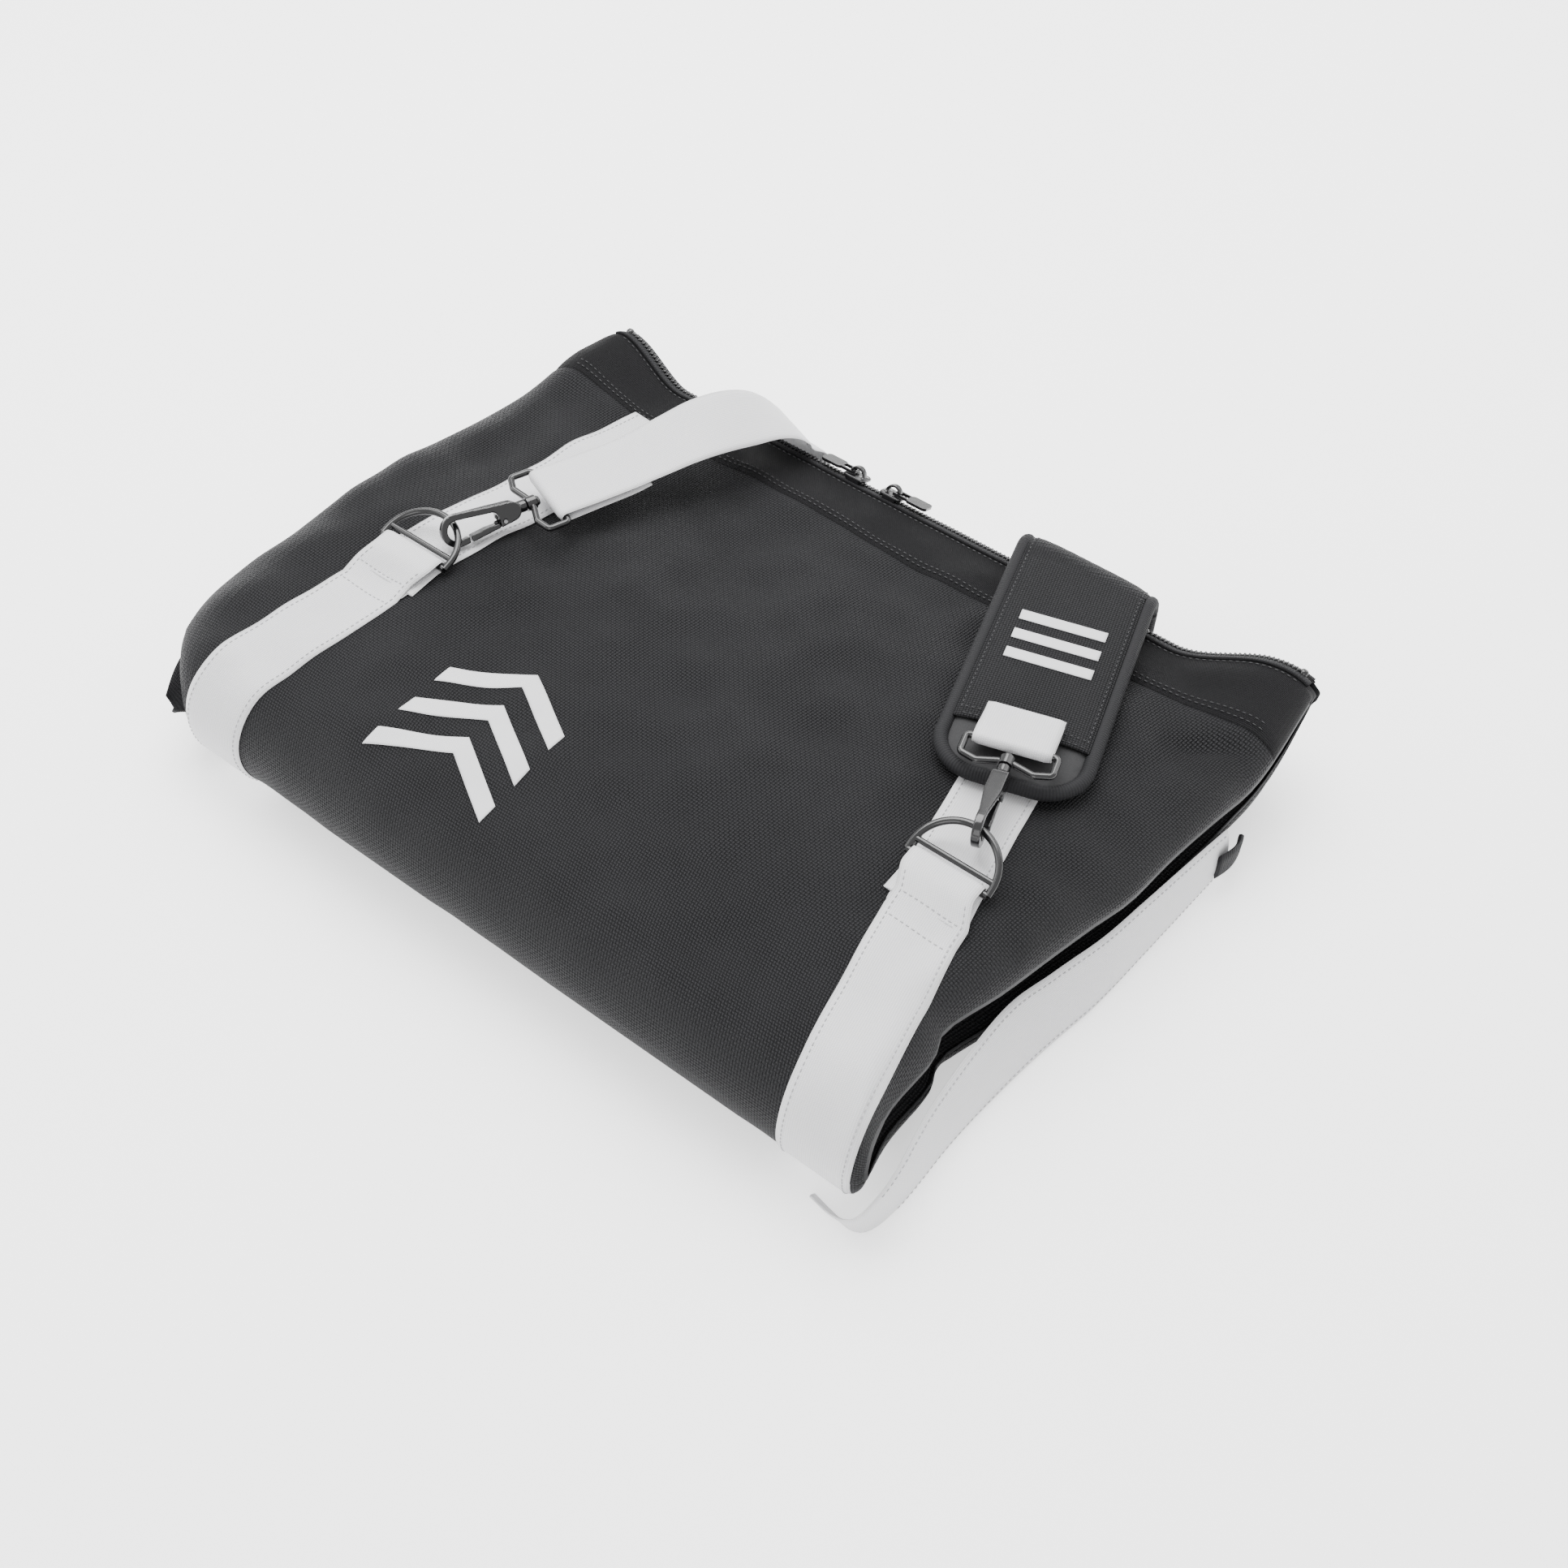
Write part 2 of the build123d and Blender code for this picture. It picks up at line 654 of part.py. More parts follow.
def bent_sheet(near, depth, thickness, end_z):
    """A sheet from its near end over the zip and down behind the bag, depth out from the inner face."""
    near_y, near_z = near
    inner_y, inner_z = hang_y + depth, pad_foot_z + depth
    bend = pad_bend_radius + depth
    with BuildSketch(Plane.YZ) as section:
        with BuildLine():
            inner = FilletPolyline((near_y, near_z), (inner_y, inner_z), (inner_y, end_z), radius=bend)
            outer = FilletPolyline(
                (near_y, near_z + thickness),
                (inner_y + thickness, inner_z + thickness),
                (inner_y + thickness, end_z),
                radius=bend + thickness,
            )
            Line(inner @ 0, outer @ 0)
            Line(inner @ 1, outer @ 1)
        make_face()
    return section.sketch


def eye_loop(side, below, reach):
    """Webbing round an eye's bar, closing below it to a doubled end that reaches away from the hook."""
    frame = eye_plane(side)
    section = Plane(eye_bar(side), x_dir=frame.y_dir, z_dir=frame.x_dir)
    with BuildPart() as loop:
        with BuildSketch(section):
            Circle(eye_loop_radius)
            with BuildLine():
                Polyline(
                    (0, eye_loop_radius),
                    (reach, 2 * webbing - below),
                    (reach, -below),
                    (0, -eye_loop_radius),
                    close=True,
                )
            make_face()
            Circle(eye_wire / 2 + running_clearance, mode=Mode.SUBTRACT)
        extrude(amount=webbing_width / 2, both=True)
    return loop.part


def hanging_edge(bar, lean, across):
    """Where a line across from the middle of a strap, at its bar, comes over the back of the bag."""
    return bar.X + across / cos(radians(lean)) - (hang_y - bar.Y) * sin(radians(lean)) / cos(radians(lean))


# Each sheet starts inside the doubled end that it carries on from
loop_overlap = 8.0
left_lean, right_lean = hook_yaw["left"], hook_yaw["right"]
sheet_start = (doubled_end - 2 * loop_overlap) * cos(radians(left_lean))
left_end = (left_bar.Y + sheet_start, left_bar.Z - webbing)
left_sheet = bent_sheet(left_end, 0, webbing, slack_floor)
left_loop = eye_loop("left", webbing, doubled_end)
left_band = band_prism(left_bar.X, left_bar.Y, left_lean, webbing_width, doubled_end - loop_overlap, tall)
slack_layers = [hang_y + k * slack_pitch for k in range(3)]
slack_left_x = hanging_edge(left_bar, left_lean, -webbing_width / 2) - slack_overhang
slack_right_x = hanging_edge(right_bar, right_lean, -pad_width / 2) - slack_gap
slack_middle_x = (slack_left_x + slack_right_x) / 2
slack_length = slack_right_x - slack_left_x
with BuildPart() as left_run:
    extrude(left_sheet, amount=tall, both=True)
    add(left_band, mode=Mode.INTERSECT)
pad_webbing_depth = pad_backing_thickness + pad_foam_thickness + running_clearance
pad_webbing_near = (pad_slope_start, pad_near_z + pad_webbing_depth)
right_sheet = bent_sheet(pad_webbing_near, pad_webbing_depth, webbing, slack_floor)
pocket_z = pad_near_z + pad_webbing_depth + pad_slope * (right_bar.Y + pad_pocket - pad_slope_start)
right_loop = eye_loop("right", right_bar.Z - pocket_z - pad_pocket_rise, pad_pocket)
right_band = band_prism(right_bar.X, right_bar.Y, right_lean, webbing_width, pad_pocket - 2, tall)
with BuildPart() as right_run:
    extrude(right_sheet, amount=tall, both=True)
    add(right_band, mode=Mode.INTERSECT)
with BuildPart() as shoulder_webbing:
    add([left_run.part, right_run.part, left_loop, right_loop])
    with BuildSketch(Plane.XY.offset(slack_floor)):
        for layer in slack_layers:
            with Locations((slack_middle_x, layer + webbing / 2)):
                Rectangle(slack_length, webbing)
        for x, layer in ((slack_right_x, slack_layers[0]), (slack_left_x, slack_layers[1])):
            with Locations((x, layer + slack_pitch / 2 + webbing / 2)):
                Rectangle(webbing, slack_pitch + webbing)
    extrude(amount=webbing_width)
    foot_right = hanging_edge(right_bar, right_lean, 0)
    with BuildSketch(Plane.XY.offset(slack_floor)):
        with Locations(((slack_right_x + foot_right) / 2, slack_layers[2] + webbing / 2)):
            Rectangle(foot_right - slack_right_x, webbing)
    extrude(amount=pad_drop_end - slack_floor - running_clearance)
save(shoulder_webbing, "shoulder_webbing")

pad_axis = Plane((right_bar.X, right_bar.Y, 0), x_dir=(cos(radians(right_lean)), sin(radians(right_lean)), 0))


def pad_shape(width, start, end):
    """An upright prism over the pad's plan, with its near corners rounded."""
    with BuildPart() as shape:
        with BuildSketch(pad_axis.offset(-tall / 2)) as plan:
            with Locations((0, (start + end) / 2)):
                Rectangle(width, end - start)
            fillet(plan.vertices().group_by(Axis.Y)[0], pad_end_radius * width / pad_width)
        extrude(amount=tall)
    return shape.part


pad_near = (pad_slope_start, pad_near_z)
pad_outer = pad_shape(pad_width, -pad_overhang, tall)
pad_inner = pad_shape(pad_width - 2 * pad_binding_width, pad_binding_width - pad_overhang, tall)
layers = {
    "pad_backing": (0, pad_backing_thickness),
    "pad_foam": (pad_backing_thickness, pad_foam_thickness),
}
for name, (depth, thickness) in layers.items():
    sheet = bent_sheet((pad_near[0], pad_near[1] + depth), depth, thickness, pad_drop_end)
    with BuildPart() as pad_layer:
        extrude(sheet, amount=tall, both=True)
        add(pad_inner, mode=Mode.INTERSECT)
    save(pad_layer, name)

cover_depth = pad_webbing_depth + webbing + running_clearance
cover_near = (pad_slope_start, pad_near_z + cover_depth)
pad_face = pad_shape(pad_width - 2 * pad_binding_width, pad_pocket, tall)
cover_sheet = bent_sheet(cover_near, cover_depth, pad_cover_thickness, pad_drop_end)
with BuildPart() as pad_cover:
    extrude(cover_sheet, amount=tall, both=True)
    add(pad_face, mode=Mode.INTERSECT)
save(pad_cover, "pad_cover")

binding_sheet = bent_sheet(pad_near, 0, pad_total, pad_drop_end)
with BuildPart() as pad_binding:
    extrude(binding_sheet, amount=tall, both=True)
    add(pad_outer, mode=Mode.INTERSECT)
    add(pad_inner, mode=Mode.SUBTRACT)
save(pad_binding, "pad_binding")

# Prints: three plain chevrons on the front and three plain bars on the pad
with BuildSketch(Plane.XY.offset(split_z)) as chevrons:
    for k in range(chevron_count):
        middle = fold_y + emblem_distance + (k - (chevron_count - 1) / 2) * chevron_pitch
        with BuildLine():
            Polyline(
                (emblem_x - chevron_span / 2, middle - chevron_rise),
                (emblem_x, middle),
                (emblem_x + chevron_span / 2, middle - chevron_rise),
                (emblem_x + chevron_span / 2, middle - chevron_rise + chevron_width),
                (emblem_x, middle + chevron_width),
                (emblem_x - chevron_span / 2, middle - chevron_rise + chevron_width),
                close=True,
            )
        make_face()
with BuildPart() as front_emblem:
    extrude(print_outline, amount=tall, both=True)
    extrude(bag_outline, amount=tall, both=True, mode=Mode.SUBTRACT)
    extrude(chevrons.sketch, amount=tall, mode=Mode.INTERSECT)
save(front_emblem, "front_emblem")

stripe_depth = cover_depth + pad_cover_thickness
stripe_sheet = bent_sheet((pad_slope_start, pad_near_z + stripe_depth), stripe_depth, print_thickness, 0)
with BuildPart() as pad_stripes:
    extrude(stripe_sheet, amount=tall, both=True)
    with BuildSketch(pad_axis.offset(split_z)):
        for k in range(pad_stripe_count):
            with Locations((0, pad_stripe_distance + (k - (pad_stripe_count - 1) / 2) * pad_stripe_pitch)):
                Rectangle(pad_stripe_length, pad_stripe_width)
    extrude(amount=tall, mode=Mode.INTERSECT)
save(pad_stripes, "pad_stripes")
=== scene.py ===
import json
from math import atan2, cos, pi, radians, sin, sqrt, tan

import bmesh
import bpy
import numpy as np
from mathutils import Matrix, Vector


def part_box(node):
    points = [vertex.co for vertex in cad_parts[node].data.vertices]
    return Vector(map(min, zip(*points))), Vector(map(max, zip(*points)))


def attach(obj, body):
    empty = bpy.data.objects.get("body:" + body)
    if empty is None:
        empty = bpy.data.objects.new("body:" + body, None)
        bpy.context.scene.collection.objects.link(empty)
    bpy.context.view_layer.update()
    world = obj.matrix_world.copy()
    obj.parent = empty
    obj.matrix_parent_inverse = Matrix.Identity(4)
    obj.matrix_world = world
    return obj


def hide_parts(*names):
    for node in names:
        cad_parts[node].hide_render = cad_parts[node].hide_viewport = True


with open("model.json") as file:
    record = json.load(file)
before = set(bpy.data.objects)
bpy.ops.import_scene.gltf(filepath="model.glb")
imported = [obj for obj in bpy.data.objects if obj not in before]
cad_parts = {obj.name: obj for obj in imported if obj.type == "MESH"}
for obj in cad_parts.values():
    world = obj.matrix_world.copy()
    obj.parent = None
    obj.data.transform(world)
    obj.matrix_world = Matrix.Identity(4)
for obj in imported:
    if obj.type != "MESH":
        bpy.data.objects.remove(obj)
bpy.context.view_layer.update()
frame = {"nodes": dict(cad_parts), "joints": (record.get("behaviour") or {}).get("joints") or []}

mm = 0.001


def box(node):  # a CAD node's corners in millimetres
    low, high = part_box(node)
    return np.array(low) / mm, np.array(high) / mm


joints = {joint["name"]: joint for joint in frame["joints"]}

# shader helpers


class Wire:
    def __init__(self, paint, socket):
        self.paint = paint
        self.socket = socket

    def calc(self, operation, *others):
        return self.paint.node("ShaderNodeMath", {"operation": operation}, dict(enumerate((self, *others))))

    def __add__(self, other):
        return self.calc("ADD", other)

    __radd__ = __add__

    def __sub__(self, other):
        return self.calc("SUBTRACT", other)

    def __rsub__(self, other):
        return self.paint.value("SUBTRACT", other, self)

    def __mul__(self, other):
        return self.calc("MULTIPLY", other)

    __rmul__ = __mul__

    def __truediv__(self, other):
        return self.calc("DIVIDE", other)

    def __pow__(self, other):
        return self.calc("POWER", other)

    def part(self):
        return self.calc("FRACT")

    def whole(self):
        return self.calc("FLOOR")

    def size(self):
        return self.calc("ABSOLUTE")

    def wave(self):
        return self.calc("SINE")

    def above(self, limit):
        return self.calc("GREATER_THAN", limit)

    def below(self, limit):
        return self.calc("LESS_THAN", limit)


class Paint:
    def __init__(self, name):
        self.material = bpy.data.materials.new(name)
        self.material.use_nodes = True
        self.tree = self.material.node_tree
        self.shader = self.tree.nodes["Principled BSDF"]

    def node(self, kind, settings=None, inputs=None, out=0):
        made = self.tree.nodes.new(kind)
        for key, setting in (settings or {}).items():
            if key == "stops":
                ramp = made.color_ramp
                for place, shade in setting:
                    stop = ramp.elements.new(place)
                    stop.color = (shade, shade, shade, 1)
                ramp.elements.remove(ramp.elements[0])
                ramp.elements.remove(ramp.elements[-1])
            else:
                setattr(made, key, setting)
        for key, given in (inputs or {}).items():
            self.feed(made.inputs[key], given)
        return Wire(self, made.outputs[out])

    def value(self, operation, *given):
        return self.node("ShaderNodeMath", {"operation": operation}, dict(enumerate(given)))

    def feed(self, socket, given):
        if isinstance(given, Wire):
            self.tree.links.new(given.socket, socket)
        else:
            socket.default_value = given

    def cloth(self):  # metres across, metres along, distance to the nearest edge
        vector = self.node("ShaderNodeAttribute", {"attribute_name": "cloth"}, out=1)
        split = self.node("ShaderNodeSeparateXYZ", inputs={0: vector})
        nodes = split.socket.node
        return vector, Wire(self, nodes.outputs[0]), Wire(self, nodes.outputs[1]), Wire(self, nodes.outputs[2])

    def place(self):
        return self.node("ShaderNodeTexCoord", out=3)

    def noise(self, vector, scale, detail=3, rough=0.5):
        settings = {"noise_dimensions": "3D"}
        return self.node("ShaderNodeTexNoise", settings, {"Vector": vector, "Scale": scale, "Detail": detail, "Roughness": rough})

    def blend(self, amount, first, second):
        settings = {"data_type": "RGBA", "clamp_factor": True}
        return self.node("ShaderNodeMix", settings, {0: amount, 6: first, 7: second}, out=2)

    def bump(self, height, strength, distance):
        return self.node("ShaderNodeBump", inputs={"Strength": strength, "Distance": distance, "Height": height})

    def set(self, **given):
        names = {
            "color": "Base Color", "rough": "Roughness", "metal": "Metallic", "normal": "Normal",
            "coat": "Coat Weight", "coatRough": "Coat Roughness", "sheen": "Sheen Weight",
            "sheenRough": "Sheen Roughness", "specular": "Specular IOR Level",
        }
        for key, wire in given.items():
            self.feed(self.shader.inputs[names[key]], wire)
        return self.material


def weave(paint, across, along, pitch):
    checker = (((across / pitch).whole() + (along / pitch).whole()) * 0.5).part() * 2
    warp = 1 - ((across / pitch).part() * 2 - 1) ** 2
    weft = 1 - ((along / pitch).part() * 2 - 1) ** 2
    return checker * warp * (weft * 0.4 + 0.6) + (1 - checker) * weft * (warp * 0.4 + 0.6)


def ballisticCloth(name, pitch, dark, light, rough):
    paint = Paint(name)
    vector, across, along, edge = paint.cloth()
    threads = weave(paint, across, along, pitch)
    patch = paint.noise(vector, 22, 4, 0.55)
    slub = paint.noise(vector, 700, 2, 0.5)
    dust = paint.noise(vector, 95, 3, 0.6)
    tone = threads * 0.5 + slub * 0.35 + patch * 0.35 - 0.1
    colour = paint.blend(tone, dark, light)
    worn = paint.blend((dust - 0.56) * 0.8 * edge.below(0.004), colour, (0.035, 0.035, 0.037, 1))
    normal = paint.bump(threads + slub * 0.3, 0.8, 0.0012)
    return paint.set(
        color=worn, rough=patch * 0.16 + rough - threads * 0.08, normal=normal, specular=0.12,
    )


def webbingCloth(name, light, shade, rough):
    paint = Paint(name)
    vector, across, along, edge = paint.cloth()
    ribs = ((across / 0.0011).part() * 2 - 1) ** 2
    picks = ((along / 0.00075 + (across / 0.0022).part().above(0.5) * 0.5).part() * 2 - 1) ** 2
    thread = 1 - ribs * 0.45 - picks * 0.45
    cloud = paint.noise(vector, 38, 4, 0.6)
    fuzz = paint.noise(vector, 900, 2, 0.5)
    bulk = paint.blend(thread * 0.75 + cloud * 0.3, shade, light)
    grime = paint.blend((cloud - 0.45) * 0.4 + edge.below(0.0012) * 0.16, bulk, (0.5, 0.49, 0.47, 1))
    normal = paint.bump(thread + fuzz * 0.3, 0.32, 0.0006)
    return paint.set(color=grime, rough=cloud * 0.14 + rough, normal=normal, specular=0.4, sheen=0.25, sheenRough=0.4)


def glossMetal(name, shade, rough, metal, coat):
    paint = Paint(name)
    place = paint.place()
    smear = paint.noise(place, 60, 4, 0.6)
    grain = paint.noise(place, 1500, 2, 0.5)
    specks = paint.noise(place, 420, 3, 0.7)
    dark = tuple(s * 0.8 for s in shade[:3]) + (1,)
    colour = paint.blend(smear, dark, shade)
    chipped = paint.blend((specks - 0.71) * 5, colour, (0.2, 0.2, 0.21, 1))
    normal = paint.bump(grain * 0.4 + smear, 0.06, 0.0006)
    return paint.set(color=chipped, rough=smear * 0.16 + rough, metal=metal, normal=normal, coat=coat, coatRough=0.08)


def plainStuff(name, shade, rough, scale, sheen=0.0):
    paint = Paint(name)
    place = paint.place()
    cloud = paint.noise(place, scale, 4, 0.6)
    fine = paint.noise(place, 1200, 2, 0.5)
    dark = tuple(s * 0.7 for s in shade[:3]) + (1,)
    colour = paint.blend(cloud, dark, shade)
    normal = paint.bump(fine + cloud * 0.3, 0.3, 0.0005)
    return paint.set(color=colour, rough=cloud * 0.15 + rough, normal=normal, sheen=sheen, sheenRough=0.4)


def ribbedTape(name, shade, rough):
    paint = Paint(name)
    vector, across, along, edge = paint.cloth()
    ribs = (along * (2 * pi / 0.0014)).wave() * 0.5 + 0.5
    cloud = paint.noise(vector, 60, 3, 0.6)
    dark = tuple(s * 0.6 for s in shade[:3]) + (1,)
    colour = paint.blend(ribs * 0.6 + cloud * 0.5 - 0.1, dark, shade)
    normal = paint.bump(ribs + cloud * 0.4, 0.4, 0.0006)
    return paint.set(color=colour, rough=cloud * 0.12 + rough, normal=normal, specular=0.2)


def satinPrint(name, shade):
    paint = Paint(name)
    vector, across, along, edge = paint.cloth()
    ribs = ((across + along) * (2 * pi / 0.0009)).wave() * 0.5 + 0.5
    cloud = paint.noise(vector, 120, 3, 0.6)
    dark = tuple(s * 0.82 for s in shade[:3]) + (1,)
    colour = paint.blend(ribs * 0.6 + cloud * 0.6 - 0.2, dark, shade)
    normal = paint.bump(ribs, 0.3, 0.0005)
    return paint.set(color=colour, rough=cloud * 0.1 + 0.5, normal=normal, sheen=0.2, sheenRough=0.4)


finish = {
    "panel": ballisticCloth("panelCloth", 0.0015, (0.0028, 0.0028, 0.0031, 1), (0.024, 0.024, 0.026, 1), 0.52),
    "hem": ballisticCloth("hemCloth", 0.0007, (0.006, 0.006, 0.0066, 1), (0.017, 0.017, 0.0182, 1), 0.58),
    "lining": plainStuff("liningCloth", (0.02, 0.02, 0.0215, 1), 0.6, 40),
    "webbing": webbingCloth("greyWebbing", (0.66, 0.66, 0.672, 1), (0.36, 0.36, 0.372, 1), 0.42),
    "metal": glossMetal("blackHardware", (0.006, 0.006, 0.0066, 1), 0.14, 0.1, 0.35),
    "steel": glossMetal("springSteel", (0.35, 0.35, 0.36, 1), 0.25, 1.0, 0.0),
    "coil": plainStuff("zipCoil", (0.009, 0.009, 0.01, 1), 0.3, 300),
    "tape": ribbedTape("zipTape", (0.014, 0.014, 0.0155, 1), 0.66),
    "binding": ribbedTape("padBinding", (0.014, 0.014, 0.0155, 1), 0.66),
    "pad": ballisticCloth("padCloth", 0.0014, (0.003, 0.003, 0.0033, 1), (0.025, 0.025, 0.027, 1), 0.54),
    "foam": plainStuff("padFoam", (0.016, 0.016, 0.0172, 1), 0.75, 500),
    "print": satinPrint("paleEmbroidery", (0.66, 0.66, 0.672, 1)),
    "thread": plainStuff("paleThread", (0.4, 0.4, 0.41, 1), 0.5, 800),
    "darkThread": plainStuff("darkThread", (0.02, 0.02, 0.022, 1), 0.5, 800),
}
print("finishes ready")

# mesh helpers


def place(name, verts, faces, material, body, cloth=None, smooth=True):
    mesh = bpy.data.meshes.new(name)
    mesh.from_pydata((np.asarray(verts) * mm).tolist(), [], faces)
    if cloth is not None:
        layer = mesh.attributes.new("cloth", "FLOAT_VECTOR", "POINT")
        layer.data.foreach_set("vector", (np.asarray(cloth, np.float32) * mm).ravel())
    mesh.validate()
    piece = bpy.data.objects.new(name, mesh)
    bpy.context.collection.objects.link(piece)
    mesh.materials.append(finish[material])
    if smooth:
        mesh.polygons.foreach_set("use_smooth", [True] * len(mesh.polygons))
        mesh.update()
    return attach(piece, body)


def quads(rows, columns, start=0, flip=False, wrap=False):
    faces = []
    for i in range(rows - 1):
        for j in range(columns if wrap else columns - 1):
            k = (j + 1) % columns
            near, far = start + i * columns, start + (i + 1) * columns
            face = (near + j, near + k, far + k, far + j)
            faces.append(face[::-1] if flip else face)
    return faces


def gridNormals(points):
    along = np.gradient(points, axis=0)
    across = np.gradient(points, axis=1)
    normal = np.cross(along, across)
    return normal / np.maximum(np.linalg.norm(normal, axis=2, keepdims=True), 1e-9)


def edgeGap(across, along):
    a = np.minimum(across - across.min(1, keepdims=True), across.max(1, keepdims=True) - across)
    b = np.minimum(along - along.min(0, keepdims=True), along.max(0, keepdims=True) - along)
    return np.minimum(a, b)


def slab(name, outer, thickness, material, body, cloth, outward):
    # a sheet with real thickness, closed at its edges
    rows, columns = outer.shape[:2]
    normal = gridNormals(outer)
    normal *= np.sign((normal * outward).sum(axis=2).mean()) if np.ndim(outward) else outward
    inner = outer - normal * thickness
    verts = np.concatenate([outer.reshape(-1, 3), inner.reshape(-1, 3)])
    half = rows * columns
    faces = quads(rows, columns) + quads(rows, columns, half, flip=True)
    rim = [i * columns for i in range(rows)]
    rim += [(rows - 1) * columns + j for j in range(1, columns)]
    rim += [i * columns + columns - 1 for i in range(rows - 2, -1, -1)]
    rim += list(range(columns - 2, 0, -1))
    for a, b in zip(rim, rim[1:] + rim[:1]):
        faces.append((a, b, half + b, half + a)[::-1])
    cloth = np.concatenate([cloth.reshape(-1, 3)] * 2)
    piece = place(name, verts, faces, material, body, cloth)
    tidyNormals(piece)
    return piece


def tidyNormals(piece):
    work = bmesh.new()
    work.from_mesh(piece.data)
    bmesh.ops.recalc_face_normals(work, faces=work.faces)
    work.to_mesh(piece.data)
    work.free()
    return piece


def tube(name, path, radius, material, body, sides=10, closed=False, flat=None):
    # a round or flattened tube along points; flat is (wide, thick, direction of wide)
    path = np.asarray(path, float)
    radii = np.broadcast_to(radius, (len(path),))
    apart = np.concatenate([[True], np.linalg.norm(np.diff(path, axis=0), axis=1) > 0.01])
    path, radii = path[apart], radii[apart]
    count = len(path)
    if closed:
        ahead = np.roll(path, -1, 0) - np.roll(path, 1, 0)
    else:
        ahead = np.gradient(path, axis=0)
    ahead /= np.linalg.norm(ahead, axis=1, keepdims=True)
    up = np.array([0.0, 0, 1]) if flat is None else np.asarray(flat, float)
    rings = []
    for point, way, r in zip(path, ahead, radii):
        side = np.cross(way, up)
        if np.linalg.norm(side) < 1e-3:
            side = np.cross(way, (1.0, 0, 0))
        side /= np.linalg.norm(side)
        rise = np.cross(side, way)
        turn = np.arange(sides) * 2 * pi / sides
        rings.append(point + r * (np.outer(np.cos(turn), side) + np.outer(np.sin(turn), rise)))
    verts = np.concatenate(rings)
    faces = quads(count, sides, wrap=True)
    if closed:
        last = (count - 1) * sides
        faces += [(last + j, last + (j + 1) % sides, (j + 1) % sides, j) for j in range(sides)]
    else:
        faces += [tuple(range(sides))[::-1], tuple(range((count - 1) * sides, count * sides))]
    run = np.concatenate([[0], np.cumsum(np.linalg.norm(np.diff(path, axis=0), axis=1))])
    cloth = np.zeros((count, sides, 3))
    cloth[:, :, 0] = np.arange(sides) * 2 * pi / sides * np.mean(radii)
    cloth[:, :, 1] = run[:, None]
    cloth[:, :, 2] = 10
    return tidyNormals(place(name, verts, faces, material, body, cloth.reshape(-1, 3)))


def smoothLine(points, count, closed=False):
    # a smooth line through a few points, evenly spaced
    points = np.asarray(points, float)
    if closed:
        points = np.concatenate([points[-1:], points, points[:2]])
    else:
        points = np.concatenate([2 * points[:1] - points[1:2], points, 2 * points[-1:] - points[-2:-1]])
    fine = []
    for a, b, c, d in zip(points, points[1:], points[2:], points[3:]):
        for t in np.linspace(0, 1, 24, endpoint=False):
            fine.append(0.5 * (2 * b + (c - a) * t + (2 * a - 5 * b + 4 * c - d) * t**2 + (3 * b - a - 3 * c + d) * t**3))
    if not closed:
        fine.append(points[-2])
    fine = np.array(fine)
    if closed:
        fine = np.concatenate([fine, fine[:1]])
    run = np.concatenate([[0], np.cumsum(np.linalg.norm(np.diff(fine, axis=0), axis=1))])
    want = np.linspace(0, run[-1], count, endpoint=not closed)
    return np.stack([np.interp(want, run, fine[:, k]) for k in range(fine.shape[1])], axis=1)


def throughPoints(points):
    # a smooth curve y(x) through a few points
    line = smoothLine(points, 200)
    order = np.argsort(line[:, 0])
    return lambda x: np.interp(x, line[order, 0], line[order, 1])


def band(name, rows, lift, thickness, material, body, outward=None, closeEnds=True):
    # webbing: rows of points across it, raised off the rows by lift, with rounded selvedges
    rows = np.asarray(rows, float)
    count, k = rows.shape[:2]
    normal = gridNormals(rows)
    if outward is not None and (normal * np.asarray(outward)).sum(axis=2).mean() < 0:
        normal = -normal
    steps = np.cumsum(np.linalg.norm(np.diff(rows, axis=1), axis=2), axis=1)
    across = np.concatenate([np.zeros((count, 1)), steps], axis=1)
    middle = rows[:, k // 2]
    along = np.concatenate([[0], np.cumsum(np.linalg.norm(np.diff(middle, axis=0), axis=1))])
    s = np.linspace(-1, 1, k)
    shape = np.sqrt(np.maximum(1 - np.abs(s) ** 14, 0.02))[None, :, None]
    low = rows + normal * (lift + thickness / 2 * (1 - shape))
    high = rows + normal * (lift + thickness / 2 * (1 + shape))
    ring = np.concatenate([high, low[:, ::-1]], axis=1)
    faces = quads(count, 2 * k, wrap=True)
    if closeEnds:
        faces += [tuple(range(2 * k))[::-1], tuple(range((count - 1) * 2 * k, count * 2 * k))]
    cloth = np.zeros((count, 2 * k, 3))
    cloth[:, :k, 0] = across
    cloth[:, k:, 0] = across[:, ::-1]
    cloth[:, :, 1] = along[:, None]
    cloth[:, :, 2] = np.minimum(cloth[:, :, 0], across[:, -1:] - cloth[:, :, 0])
    piece = place(name, ring.reshape(-1, 3), faces, material, body, cloth.reshape(-1, 3))
    tidyNormals(piece)
    return piece, high, normal


